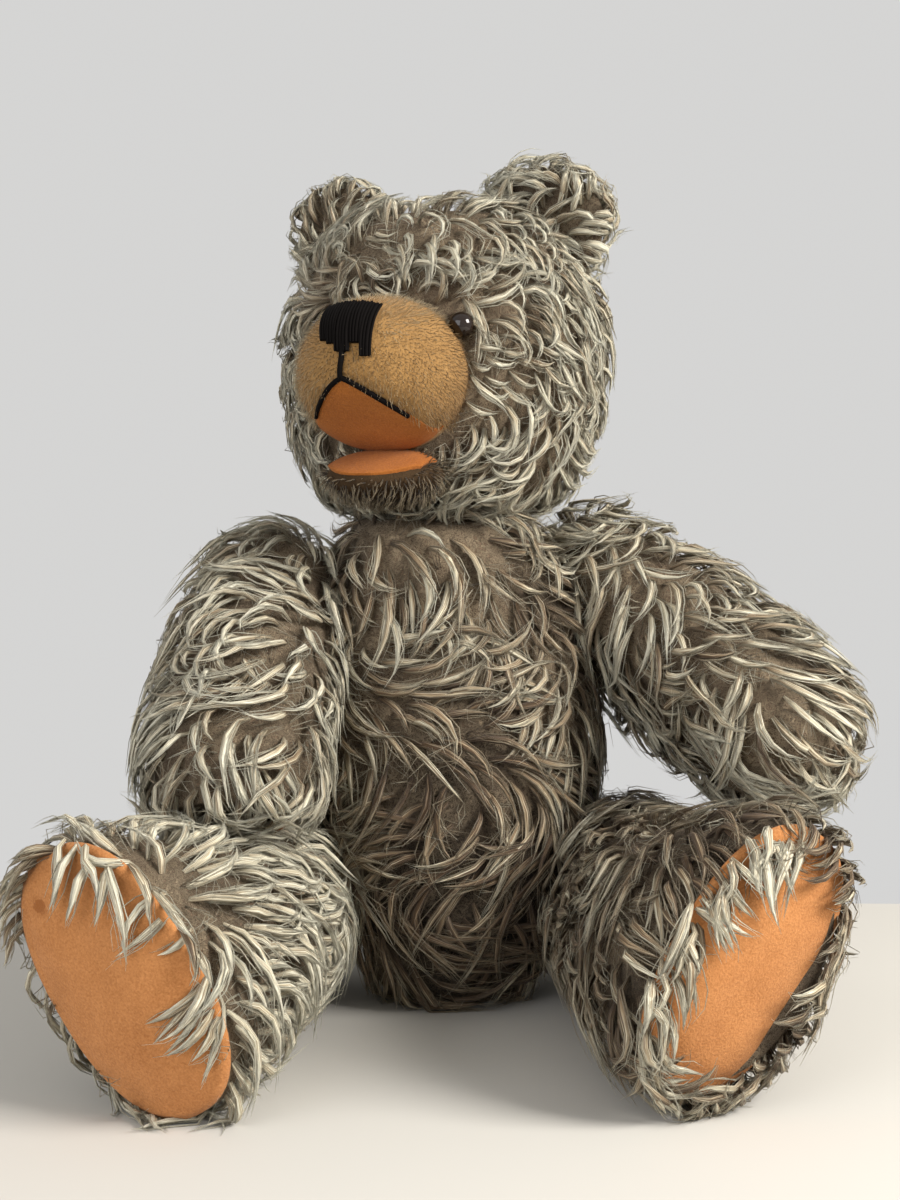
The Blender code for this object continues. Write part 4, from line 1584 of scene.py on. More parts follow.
@dataclass
class Arm(Limb):
    """One arm, from the shoulder's disc to the paw and its felt palm."""

    def stations(self) -> list[Station]:
        """The rings of the form, down -Z.

        Returns:
            The rings in order.
        """
        side = self.joint.side.value

        def at(z: float, y: float = 0.0, out: float = 0.0) -> Vector:
            """A point of the arm's middle line."""
            return Vector((self.radius - self.crush + out, side * y, z))

        thick = self.radius
        return [
            Station(at(0.038), 0.42 * thick, 0.45 * thick),
            Station(at(0.022), 0.92 * thick, 0.96 * thick),
            Station(at(-0.040, 0, 0.002), 1.12 * thick, 1.18 * thick),
            Station(at(-0.112, -0.014, 0.002), 1.10 * thick, 1.12 * thick),
            Station(at(-0.140, -0.026), 0.58 * thick, 0.60 * thick),
        ]

    def presses(self, points: list[Vector]) -> None:
        """Flattens the skin on its joint, under the head and on the leg.

        Args:
            points: World points, changed in place.
        """
        press(points, self.joint.seat + self.joint.axis * WALL, -self.joint.axis)
        press(points, Vector((0, 0, NECK_HEIGHT - WALL)), UP)
        if self.joint.side is Side.RIGHT:
            seat = self.paw_rest + self.paw_lift * (WALL + self.paw_room)
            press(points, seat, -self.paw_lift, self.paw_reach)

    def pad(self) -> FeltPad:
        """The felt palm.

        Returns:
            The palm.
        """
        side = self.joint.side.value
        turn = Matrix.Rotation(-side * math.radians(8), 4, "Z") @ Matrix.Rotation(-math.pi / 2, 4, "Y")
        palm = Matrix.Translation((self.radius - self.crush, -0.012 * side, -0.096)) @ turn
        palm = self.joint.place() @ palm @ Matrix.Translation((0, 0, 0.0170))
        return FeltPad(self.body + "_palm", palm, 0.016, 0.014, 0.006, rings=10, spokes=40)

    def grows(self, point: Vector, normal: Vector) -> float:
        """The pile's density: none on the joint's face or under the palm, and more round the palm.

        Args:
            point: A world point.
            normal: The skin's normal there.

        Returns:
            The density, usually 1.
        """
        if self.at_joint(point):
            return 0.0
        near = self.pad().local(point)
        if near.xy.length < 1.7 and near.z > -0.02:
            return 0.0 if near.xy.length < 1.05 else 1.9
        return 1.7 if (self.place().inverted() @ point).z > 0.012 else 1.0

    def lie(self, point: Vector, normal: Vector) -> Lock:
        """Outwards across the bear's right arm, and along its left arm, then down at the paw.

        Args:
            point: A world point.
            normal: The skin's normal there.

        Returns:
            What a lock there is to do.
        """
        inside = self.place().inverted() @ point
        down_arm = self.place().to_3x3() @ DOWN
        low = bounded(-inside.z / 0.12)
        swirl = noise.noise_vector(point * 22.0) * 0.6
        if self.joint.side is Side.RIGHT:
            lie = Vector((-1.1, 0, 0)) * (1 - low) + DOWN * (0.35 + 0.9 * low) + down_arm * 0.2 + swirl
            faded = 0.84
        else:
            lie = down_arm * 0.9 + DOWN * 0.45 + swirl
            faded = 0.74
        return Lock(lie, faded + 0.38 * noise.noise(point * 32.0))


@dataclass
class Fringe:
    """Chosen locks that hang over the edge of a sole.

    Attributes:
        turns: Where each grows, in degrees from the top towards the bear's middle.
        lie: The way they hang: towards the bear's middle, and up.
        size: Their length as a share of the coat's.
        tone: How far they have faded.
        depth: How far in from the edge they may grow, as a share of the sole.
    """

    turns: tuple[float, ...]
    lie: tuple[float, float]
    size: float
    tone: float = 0.80
    depth: float = 0.05


@dataclass
class Leg(Limb):
    """One leg, from the hip's disc to the foot and its felt sole.

    Attributes:
        sole_turn: How far the sole faces outwards, in degrees.
        sole_roll: How far its top leans outwards, in degrees.
        stream: 1 where the pile runs up the leg, -1 where it runs to the foot.
        base_tone: How far the pile has faded.
        fringes: The locks that hang over the sole's edge.
        hole: The middle of a small hole in the sole.
    """

    sole_turn: float = 0.0
    sole_roll: float = 14.0
    stream: float = 1.0
    base_tone: float = 0.66
    fringes: list[Fringe] = field(default_factory=list)
    hole: Optional[Vector] = None

    def stations(self) -> list[Station]:
        """The rings of the form, forwards from the thigh.

        Returns:
            The rings in order.
        """
        side = self.joint.side.value
        roll = math.radians(self.sole_roll)

        def at(y: float, z: float, out: float = 0.0) -> Vector:
            """A point of the leg's middle line."""
            return Vector((self.radius - self.crush + out, side * y, z))

        thick = self.radius
        return [
            Station(at(0.040, 0), 0.50 * thick, 0.50 * thick),
            Station(at(0.022, 0), 0.92 * thick, 0.96 * thick),
            Station(at(-0.075, 0), 0.94 * thick, 1.00 * thick),
            Station(at(-0.122, 0.004, 0.003), 0.92 * thick, 1.12 * thick, 0.5 * roll, 0.0055),
            Station(at(-0.156, 0.010, 0.012), 0.92 * thick, 1.36 * thick, roll, 0.0042),
            Station(at(-0.169, 0.010, 0.016), 0.80 * thick, 1.28 * thick, roll, 0.0030),
        ]

    def presses(self, points: list[Vector]) -> None:
        """Flattens the skin on its joint, on the ground and under the paw.

        Args:
            points: World points, changed in place.
        """
        if self.joint.side is Side.RIGHT:
            press(points, self.paw_rest - self.paw_lift * WALL, self.paw_lift, self.paw_reach)
        for _ in range(5):  # each plane moves points past the other a little
            press(points, self.joint.seat + self.joint.axis * WALL, -self.joint.axis)
            press(points, Vector((0, 0, WALL)), DOWN)

    def pad(self) -> FeltPad:
        """The felt sole.

        Returns:
            The sole.
        """
        side = self.joint.side.value
        sole = Matrix.Translation((self.radius - self.crush + 0.014, -0.163 * side, 0.010))
        sole = sole @ Matrix.Rotation(side * math.radians(self.sole_turn), 4, "Z")
        sole = sole @ Matrix.Rotation(math.radians(self.sole_roll), 4, "Y")
        sole = sole @ Matrix.Rotation(side * math.pi / 2, 4, "X")
        return FeltPad(self.body + "_sole", self.joint.place() @ sole, 0.0305, 0.0490, 0.0080, hole=self.hole)

    def grows(self, point: Vector, normal: Vector) -> float:
        """The pile's density: none on the joint's face, on the ground or under the sole.

        Args:
            point: A world point.
            normal: The skin's normal there.

        Returns:
            The density, usually 1.
        """
        if self.at_joint(point) or (point.z < 0.0012 and normal.z < -0.9):
            return 0.0
        pad = self.pad()
        near = pad.local(point)
        if near.xy.length < 0.97 and near.z > -0.012 and normal.dot(pad.place.to_3x3() @ UP) > 0.5:
            return 0.0
        return 1.5 if near.z > -0.016 else 1.0

    def lie(self, point: Vector, normal: Vector) -> Lock:
        """Along the leg and down its sides, and down along the sole's edge.

        Args:
            point: A world point.
            normal: The skin's normal there.

        Returns:
            What a lock there is to do.
        """
        place = self.place().to_3x3()
        back = place @ Vector((0, self.joint.side.value, 0)) * self.stream
        rim = bounded(1 - (abs(self.pad().local(point).z) - 0.006) / 0.020)
        top = rim * max(0.0, normal.z)
        lie = back * (0.9 - (0.8 if self.stream > 0 else 0.3) * rim)
        lie = lie + DOWN * (0.5 + 0.5 * rim) * (1 - top) + place @ OUTBOARD * 0.8 * top
        lie = lie + noise.noise_vector(point * 20.0) * 0.6
        tone = self.base_tone + 0.3 * noise.noise(point * 32.0) - 0.25 * top
        return Lock(lie, tone, 0.85 if rim > 0.5 else 1.0)

    def chosen(self, pile: Pile, bed: BVHTree) -> None:
        """Hangs the fringes over the sole's edge.

        Args:
            pile: The pile that they are added to.
            bed: What they lie on.
        """
        pad = self.pad()
        turned = pad.place.to_3x3()
        side = self.joint.side.value
        dice = np.random.default_rng(self.seed + 7)
        for fringe in self.fringes:
            for degrees in fringe.turns:
                draws = [float(v) for v in dice.random(5)]
                stray = 0.9 * (draws[0] - 0.5)
                lie = Matrix.Rotation(stray, 3, "Z") @ Vector((-fringe.lie[0], side * fringe.lie[1], 0))
                turn = math.radians(degrees + 5 * (draws[1] - 0.5))
                share = 1.02 - fringe.depth * draws[2]
                edge = pad.outline(math.atan2(side * math.cos(turn), -math.sin(turn)), share)
                root = pad.place @ (edge + Vector((0, 0, pad.height(min(share, 1.0)) - 0.001)))
                tone, size = fringe.tone + 0.3 * (draws[3] - 0.5), fringe.size * (0.7 + 0.6 * draws[4])
                pile.add(root, turned @ UP, Lock(turned @ lie, tone, size, 0.7), bed)


@dataclass
class CutDome:
    """An ellipsoid of the face, cut off by a plane with a rounded edge.

    Attributes:
        centre: Its middle, in the head's frame.
        radii: Its half sizes.
        cut: A point of the plane.
        out: The side of the plane that is cut off.
        sharp: How sharp its edge is.
        rows: Faces along a column of a sheet that is laid on it.
    """

    centre: Vector
    radii: Vector
    cut: Vector
    out: Vector
    sharp: float
    rows: int = 26

    def ball(self, point: Vector) -> float:
        """How far out of the whole ellipsoid a point lies, with its surface at 1."""
        return divided(point - self.centre, self.radii).length

    def gauge(self, point: Vector) -> float:
        """How far out a point lies, with the surface at 1."""
        plane = (point - self.centre).dot(self.out) / (self.cut - self.centre).dot(self.out)
        return (self.ball(point) ** self.sharp + max(plane, 0.0) ** self.sharp) ** (1 / self.sharp)

    def on(self, start: Vector, heading: Vector, level: float = 1.0) -> Vector:
        """Where a ray from inside meets the surface, or a surface round it.

        Args:
            start: Where the ray starts.
            heading: Its direction, one unit long.
            level: How far out the surface is.

        Returns:
            The point that it meets.
        """
        low, high = 0.0, 0.09
        for _ in range(26):
            middle = (low + high) / 2
            if self.gauge(start + heading * middle) < level:
                low = middle
            else:
                high = middle
        return start + heading * high

    def build(self, name: str, place: Matrix, material: Material) -> Piece:
        """Builds the whole surface.

        Args:
            name: The object's name.
            place: The head's frame.
            material: Its material.

        Returns:
            The closed surface.
        """
        shape = bmesh.new()
        bmesh.ops.create_icosphere(shape, subdivisions=4, radius=1.0)
        for vertex in shape.verts:
            vertex.co = place @ self.on(self.centre, vertex.co.normalized())
        return object_from(name, shape, material)

    def patch(self, name: str, place: Matrix, material: Material, columns: list[float],
              spans: Callable[[float], tuple[float, float]], level: float, thickness: float
              ) -> Piece:
        """Lays a sheet of felt on the surface.

        Args:
            name: The object's name.
            place: The head's frame.
            material: The felt.
            columns: The sheet's X values.
            spans: The angles about X at which a column starts and ends, from straight ahead, upwards.
            level: How far out the sheet lies.
            thickness: Its thickness.

        Returns:
            The sheet.
        """
        shape = bmesh.new()
        grid = []
        for x in columns:
            start = Vector((x, self.centre.y, self.centre.z))
            first, last = spans(x)
            column = []
            for i in range(self.rows + 1):
                angle = first + (last - first) * i / self.rows
                heading = Vector((0, -math.cos(angle), math.sin(angle)))
                column.append(shape.verts.new(place @ self.on(start, heading, level)))
            grid.append(column)
        for left, right in zip(grid, grid[1:]):
            for i in range(self.rows):
                shape.faces.new((left[i], left[i + 1], right[i + 1], right[i]))
        sheet = object_from(name, shape, material)
        middle = sheet.data.polygons[self.rows * len(columns) // 2]
        if middle.normal.dot(place.to_3x3() @ Vector((0, -1, -0.3))) < 0:
            sheet.data.flip_normals()
        thick = sheet.modifiers.new("felt", "SOLIDIFY")
        thick.thickness = thickness
        thick.offset = -1
        soft = sheet.modifiers.new("soft_edge", "BEVEL")
        soft.width = thickness * 0.4
        soft.segments = 2
        soft.limit_method = "ANGLE"
        soft.angle_limit = math.radians(50)
        return applied(sheet)


@dataclass
class Head(StuffedPart):
    """The head with its face and ears. Its frame is the neck's face, with the nose to -Y.

    Attributes:
        turn: How far it is turned at rest, in degrees.
        crease: The middle of the fold at the back of the mouth.
        fork: Where the mouth line parts under its stem.
        mouth_half: Half the mouth line's width.
        mouth_drop: How far its ends hang below the fork.
        nose_centre: The height of the nose's middle.
        nose_half: Half the nose's width.
        nose_height: Its height.
        nose_slant: How far its stitches lean from end to end.
        stitches: Stitches in each of its two layers.
        thread_radius: Half the width of the nose's thread.
        mouth_radius: Half the width of the mouth's thread.
        eye_seat: The middle of the left eye.
        eye_radius: Its radius.
        ear_seat: The middle of the left ear.
        ear_radii: Half its width, depth and height.
        ear_inner: How far its inner side is drawn in.
        ear_lean: How far it leans outwards, in degrees.
        ear_fill: How firmly it is stuffed.
        ear_coat: Its locks.
    """

    turn: float = -31.5
    crease: Vector = field(default_factory=lambda: Vector((0, -0.062, 0.0240)))
    fork: Vector = field(default_factory=lambda: Vector((0, 0, 0.0490)))
    mouth_half: float = 0.0184
    mouth_drop: float = 0.0131
    nose_centre: float = 0.0686
    nose_half: float = 0.0113
    nose_height: float = 0.0138
    nose_slant: float = 0.0036
    stitches: int = 19
    thread_radius: float = 0.00062
    mouth_radius: float = 0.00105
    eye_seat: Vector = field(default_factory=lambda: Vector((0.029, -0.0520, 0.071)))
    eye_radius: float = 0.0048
    ear_seat: Vector = field(default_factory=lambda: Vector((0.046, 0.004, 0.112)))
    ear_radii: Vector = field(default_factory=lambda: Vector((0.0205, 0.0050, 0.0225)))
    ear_inner: float = 0.0090
    ear_lean: float = 38.0
    ear_fill: float = 0.3
    ear_coat: Coat = Coat(spacing=0.0043, length=0.022, width=0.0020, lift=0.0045, stand=0.6, curl=1.9,
                          scatter=0.8, core=0.7, wave=0.0004)

    def __post_init__(self) -> None:
        """Works out the muzzle and the chin."""
        rise, fall = math.radians(33), math.radians(24)
        self.muzzle = CutDome(Vector((0, -0.060, 0.052)), Vector((0.032, 0.037, 0.030)), self.crease,
                              Vector((0, -math.sin(rise), -math.cos(rise))), 12.0)
        self.jaw = CutDome(Vector((0, -0.057, 0.0140)), Vector((0.022, 0.0265, 0.0100)),
                           self.crease + Vector((0, 0, -0.0012)),
                           Vector((0, -math.sin(fall), math.cos(fall))), 8.0)

    def place(self) -> Matrix:
        """The head's frame."""
        seat = Vector(joint_named("neck")["pos_m"])
        return Matrix.Translation(seat) @ Matrix.Rotation(math.radians(self.turn), 4, "Z")

    def stations(self) -> list[Station]:
        """The rings of the form, from the neck to the crown.

        Returns:
            The rings in order.
        """
        def at(z: float, y: float = 0.0) -> Vector:
            """A point over the neck's middle."""
            return Vector((0, y, z))

        return [
            Station(at(-0.006), 0.045, 0.042),
            Station(at(0.012), 0.060, 0.055),
            Station(at(0.046), 0.071, 0.063),
            Station(at(0.086, 0.002), 0.070, 0.061),
            Station(at(0.116, 0.003), 0.050, 0.046),
            Station(at(0.127, 0.003), 0.026, 0.024),
        ]

    def presses(self, points: list[Vector]) -> None:
        """Flattens the skin on the neck."""
        press(points, Vector((0, 0, NECK_HEIGHT + WALL)), DOWN)

    def grows(self, point: Vector, normal: Vector) -> float:
        """The pile's density: none under the muzzle or the chin, or on the neck.

        Args:
            point: A world point.
            normal: The skin's normal there.

        Returns:
            The density, usually 1.
        """
        if point.z < NECK_HEIGHT + 0.0015:
            return 0.0
        inside = self.place().inverted() @ point
        return 0.0 if self.muzzle.ball(inside) < 1.02 or self.jaw.ball(inside) < 1.08 else 1.0

    def lie(self, point: Vector, normal: Vector) -> Lock:
        """Away from the muzzle, back over the crown and down the cheeks.

        Args:
            point: A world point.
            normal: The skin's normal there.

        Returns:
            What a lock there is to do.
        """
        turned = self.place().to_3x3()
        inside = self.place().inverted() @ point
        away = turned @ tangent(inside - self.muzzle.centre, AHEAD)
        near = bounded((1.5 - self.muzzle.ball(inside)) / 0.5)
        swirl = noise.noise_vector(point * 26.0) * 0.9
        high = bounded((inside.z - 0.075) / 0.04)
        lie = DOWN * (0.8 - 0.6 * high) + turned @ BACK * 0.5 * high + away * near * 1.2 + swirl
        # locks near the muzzle and above its middle are darkened: partly their browner colour, partly painted
        # shade under the forelock
        over = bounded((inside.z - 0.060) / 0.02)
        tone = 0.86 - 0.52 * near * over + 0.30 * noise.noise(point * 34.0)
        return Lock(lie, tone, 0.75 + 0.25 * (1 - near))

    def chosen(self, pile: Pile, bed: BVHTree) -> None:
        """Hangs a few locks over each eye.

        Args:
            pile: The pile that they are added to.
            bed: What they lie on.
        """
        locks = ((0.001, 0.012, 0.9), (0.005, 0.011, 1.0), (0.009, 0.009, 1.0), (0.011, 0.004, 0.8))
        for side in Side:
            lie = self.place().to_3x3() @ Vector((-0.7 * side.value, 0, -1))
            for across, above, size in locks:
                seat = mirrored(self.eye_seat + Vector((across, 0, above)), side)
                root, normal, _, _ = bed.find_nearest(self.place() @ seat)
                # their low tone is partly browner fur and partly painted shade round the eye
                pile.add(root, normal, Lock(lie, 0.5, size, 0.1), bed)

    def mouth_height(self, x: float) -> float:
        """The height of the mouth line at an X."""
        return self.fork.z - self.mouth_drop * (abs(x) / self.mouth_half) ** 1.25

    def palate(self) -> Piece:
        """The felt from the mouth line back to the crease.

        Returns:
            The felt.
        """
        count = 44
        half = self.mouth_half * 1.36
        columns = [half * (2 * i / count - 1) for i in range(count + 1)]

        def spans(x: float) -> tuple[float, float]:
            """The angles of the mouth line and the crease.

            Args:
                x: The column's X.

            Returns:
                The first angle and the last.
            """
            height = self.mouth_height(x) - self.muzzle.centre.z
            depth = self.muzzle.radii.y * math.sqrt(max(1 - (x / self.muzzle.radii.x) ** 2
                                                        - (height / self.muzzle.radii.z) ** 2, 0.0))
            return math.atan2(height, depth), math.radians(-92)

        felt = self.finishes.mouth_felt
        return self.muzzle.patch("palate", self.place(), felt, columns, spans, 1.016, 0.0016)

    def lip(self) -> Piece:
        """The felt of the lower lip, with its thick edge turned over the jaw.

        Returns:
            The felt.
        """
        count = 36
        half = self.jaw.radii.x * 0.90
        columns = [half * math.sin(math.pi / 2 * (2 * i / count - 1)) for i in range(count + 1)]

        def spans(x: float) -> tuple[float, float]:
            """The angles of the crease and the turned edge."""
            return math.radians(120), math.radians(2 + 16 * (abs(x) / half) ** 3)

        felt = self.finishes.mouth_felt
        return self.jaw.patch("lower_lip", self.place(), felt, columns, spans, 1.07, 0.0022)

    def on_muzzle(self, x: float, z: float, lift: float = 0.0) -> Vector:
        """The world point of the muzzle's front at an X and a height.

        Args:
            x: Its X.
            z: Its height.
            lift: How far off the surface it lies.

        Returns:
            The world point.
        """
        point = self.muzzle.on(Vector((x, self.muzzle.centre.y, z)), AHEAD)
        off = point - self.muzzle.centre
        normal = Vector((off.x / self.muzzle.radii.x ** 2, off.y / self.muzzle.radii.y ** 2,
                         off.z / self.muzzle.radii.z ** 2)).normalized()
        return self.place() @ (point + normal * lift)

    def threads(self, name: str, paths: list[list[Vector]], points: int, radius: float) -> Piece:
        """Lays threads along paths.

        Args:
            name: The object's name.
            paths: The threads' world points.
            points: Points along each thread.
            radius: Half a thread's width.

        Returns:
            The threads.
        """
        outwards = self.place().to_3x3() @ AHEAD
        coat = Coat(core=0.0, strands=1, points=points, strand=radius, wave=0.0, sides=6, tip=0.9, shortest=1.0)
        pile = Pile(coat, 5, rows=[[(point, outwards, 0.0, 0.5) for point in path] for path in paths])
        return recoloured(pile.build(name, self.tree), self.finishes.thread)

    def nose(self) -> Piece:
        """The nose: a row of upright satin stitches, with the last ones on its left drawn lower.

        Returns:
            The stitches.
        """
        paths = []
        for layer in range(2):
            for i in range(self.stitches):
                across = 2 * (i + 0.5 * layer) / (self.stitches - 0.5) - 1
                taper = 1 - 0.16 * (1 if across > 0 else 0.6)
                drop = 0.5 * self.nose_height
                if across > 0.66:
                    drop += 0.0048
                if abs(across + 0.05) < 0.28:
                    drop += 0.0030
                if across < -0.72:
                    drop -= 0.0012
                top = self.nose_centre + 0.5 * self.nose_height
                top += 0.0016 * (1 - across ** 2) + 0.0002 * math.cos(i * 2.1)
                path = []
                for k in range(9):
                    t = k / 8
                    z = top + (self.nose_centre - drop - top) * t
                    x = across * self.nose_half * (1 + (taper - 1) * t) - self.nose_slant * (0.75 - t)
                    bulge = math.sin(math.pi * min(max(t, 0.08), 0.92)) ** 0.5
                    lift = (0.0004 + 0.0005 * layer) + 0.0012 * bulge
                    path.append(self.on_muzzle(x, z, lift))
                paths.append(path)
        return self.threads("nose", paths, 9, self.thread_radius)

    def mouth(self) -> Piece:
        """The mouth: a stem from the nose and a line to each side.

        Returns:
            The threads.
        """
        low = self.nose_centre - 0.5 * self.nose_height
        stem = [self.on_muzzle(0.0004 * math.sin(k), low + (self.fork.z - low) * k / 5, 0.0010)
                for k in range(6)]
        sides = []
        for sign in (-1, 1):
            xs = [sign * self.mouth_half * k / 14 for k in range(15)]
            sides.append([self.on_muzzle(x, self.mouth_height(x) + 0.0004, 0.0009) for x in xs])
        return self.threads("mouth_line", [stem, *sides], 15, self.mouth_radius)

    def muzzle_pile(self, skin: Piece) -> Piece:
        """The short gold pile of the muzzle, longer and browner beside the mouth.

        Args:
            skin: The skin that it grows from.

        Returns:
            The bristles.
        """
        inverse = self.place().inverted()
        back = self.place().to_3x3() @ BACK

        def grows(point: Vector, normal: Vector) -> float:
            """None behind the head's pile, under the felt or under the nose.

            Args:
                point: A world point.
                normal: The skin's normal there.

            Returns:
                The density, usually 1.
            """
            inside = inverse @ point
            in_mouth = inside.z < self.mouth_height(inside.x) + 0.0012 and abs(inside.x) < 0.0262
            if inside.y > -0.040 or in_mouth or self.muzzle.out.dot(inside - self.crease) > -0.0012:
                return 0.0
            high = (inside.z - self.nose_centre) / self.nose_height
            across = inside.x + self.nose_slant * (high + 0.25)
            return 0.0 if abs(across) < self.nose_half and abs(high) < 0.55 else 1.0

        def lie(point: Vector, normal: Vector) -> Lock:
            """Back and down; paler along the right edge and over the top, a painted highlight of the velvet's
            sheen; painted shade down the left edge; paler in a patch high on the left and browner low on the left.

            Args:
                point: A world point.
                normal: The skin's normal there.

            Returns:
                What a lock there is to do.
            """
            inside = inverse @ point
            low = bounded((0.056 - inside.z) / 0.02)
            worn = math.exp(-(((inside.x - 0.0155) / 0.0058) ** 2 + ((inside.z - 0.0715) / 0.0070) ** 2))
            beside = math.exp(-(((inside.x - 0.010) / 0.012) ** 2 + ((inside.z - 0.057) / 0.010) ** 2))
            # painted light: rim is a painted highlight of the velvet's sheen along the right edge and over the
            # top; side is painted shade down the left edge
            rim = max(0.0, (-inside.x - 0.014) / 0.012) + 0.8 * max(0.0, (inside.z - 0.073) / 0.008)
            side = bounded((inside.x - 0.017) / 0.012)
            tone = 0.64 - 0.10 * low - 0.50 * beside * (0.8 + 0.6 * noise.noise(point * 420.0)) - 0.38 * side
            tone += 1.25 * worn * (0.9 + 0.5 * noise.noise(point * 500.0)) + 0.60 * min(rim, 1.0)
            return Lock(back * 0.5 + DOWN * 0.9, tone, 0.8 + 0.75 * low + 0.5 * beside + 0.8 * worn)

        coat = Coat(spacing=0.00124, length=0.0023, core=0.0, strands=1, points=3, strand=0.00014, wave=0.0002,
                    tip=0.3)
        pile = Pile(coat, 71)
        pile.bristle(skin, grows, lie, 0.40)
        return recoloured(pile.build("muzzle_pile", self.tree), self.finishes.muzzle_bristle)

    def chin_pile(self, skin: Piece) -> Piece:
        """The stiff brown pile of the chin.

        Args:
            skin: The skin that it grows from.

        Returns:
            The bristles.
        """
        inverse = self.place().inverted()

        def grows(point: Vector, normal: Vector) -> float:
            """None under the lip's felt or behind the head's pile.

            Args:
                point: A world point.
                normal: The skin's normal there.

            Returns:
                The density, usually 1.
            """
            inside = inverse @ point
            edge = -0.0026 - 0.0034 * (inside.x / self.jaw.radii.x) ** 2
            return 0.0 if inside.y > -0.044 or self.jaw.out.dot(inside - self.crease) > edge else 1.0

        def lie(point: Vector, normal: Vector) -> Lock:
            """Forwards and down."""
            return Lock(DOWN + self.place().to_3x3() @ Vector((0, -0.3, 0)), 0.45)

        coat = Coat(spacing=0.00155, length=0.0046, core=0.0, strands=2, points=3, width=0.0005,
                    strand=0.00024, wave=0.0004, tip=0.3)
        pile = Pile(coat, 73)
        pile.bristle(skin, grows, lie, 0.28)
        return recoloured(pile.build("chin_pile", self.tree), self.finishes.chin_bristle)

    def eye(self, side: Side) -> Piece:
        """A round glass eye.

        Args:
            side: Which side it is on.

        Returns:
            The eye.
        """
        shape = bmesh.new()
        bmesh.ops.create_icosphere(shape, subdivisions=4, radius=self.eye_radius)
        bmesh.ops.translate(shape, verts=shape.verts, vec=self.place() @ mirrored(self.eye_seat, side))
        return object_from(f"glass_eye_{side.name.lower()}", shape, self.finishes.glass)

    def ear(self, side: Side) -> None:
        """One ear: a flat skin and the locks that sweep up and out over it.

        Args:
            side: Which side it is on.
        """
        name = f"ear_{side.name.lower()}"
        shape = bmesh.new()
        bmesh.ops.create_icosphere(shape, subdivisions=4, radius=1.0)
        ear = self.place() @ Matrix.Translation(mirrored(self.ear_seat, side))
        ear = ear @ Matrix.Rotation(math.radians(self.ear_lean) * side.value, 4, "Y")
        inner = self.ear_inner if side is Side.LEFT else 0.0
        for vertex in shape.verts:
            out = vertex.co * self.ear_radii
            out.x -= side.value * inner * max(0.0, -vertex.co.x * side.value)
            out.y += 0.004 * (1 - vertex.co.x ** 2 - vertex.co.z ** 2)
            vertex.co = ear @ out
        skin = object_from(name + "_skin", shape, self.finishes.backing)
        up_ear = ear.to_3x3() @ UP
        back = self.place().to_3x3() @ BACK

        def grows(point: Vector, normal: Vector) -> float:
            """None inside the head."""
            return 0.0 if (ear.inverted() @ point).z < -0.016 else 1.0

        def lie(point: Vector, normal: Vector) -> Lock:
            """Up the ear and over its edge.

            Args:
                point: A world point.
                normal: The skin's normal there.

            Returns:
                What a lock there is to do.
            """
            swirl = noise.noise_vector(point * 60.0) * 0.8
            inside = ear.inverted() @ point
            rim = bounded(inside.z / 0.02)
            tone = 0.88 + 0.3 * noise.noise(point * 60.0)
            across = inside.x * side.value
            inwards = across < 0 and side is Side.LEFT
            spread = ear.to_3x3() @ Vector((across * side.value * (45 if inwards else 15), 0, 0))
            size = (1.0 - 0.20 * rim) * (1.1 if inwards else 1.0) * (1.0 if side is Side.LEFT else 0.85)
            return Lock(up_ear * 0.7 + spread + back * 0.2 + UP * 0.2 + swirl, tone, size)

        self.tint(skin, lie)
        pile = Pile(self.ear_coat, 83 + side.value)
        pile.grow(skin, bed_of(skin), grows, lie)
        dressed(skin, self.body, name, self.ear_fill)
        dressed(pile.build(name + "_locks", self.tree), self.body)

    def build(self) -> None:
        """Builds and dresses the head, its face and its ears."""
        super().build()
        muzzle = self.muzzle.build("muzzle_skin", self.place(), self.finishes.muzzle)
        jaw = self.jaw.build("chin_skin", self.place(), self.finishes.chin)
        dressed(muzzle, self.body, "muzzle", self.fill)
        dressed(jaw, self.body, "chin", self.fill)
        dressed(self.palate(), self.body, "mouth_lining")
        dressed(self.lip(), self.body)
        dressed(self.muzzle_pile(muzzle), self.body)
        dressed(self.chin_pile(jaw), self.body)
        dressed(self.nose(), self.body, "nose_stitching")
        dressed(self.mouth(), self.body, "mouth_stitching")
        dressed(self.eye(Side.LEFT), self.body, "eye_left")
        dressed(self.eye(Side.RIGHT), self.body, "eye_right")
        for side in Side:
            self.ear(side)


# ---------------- studio

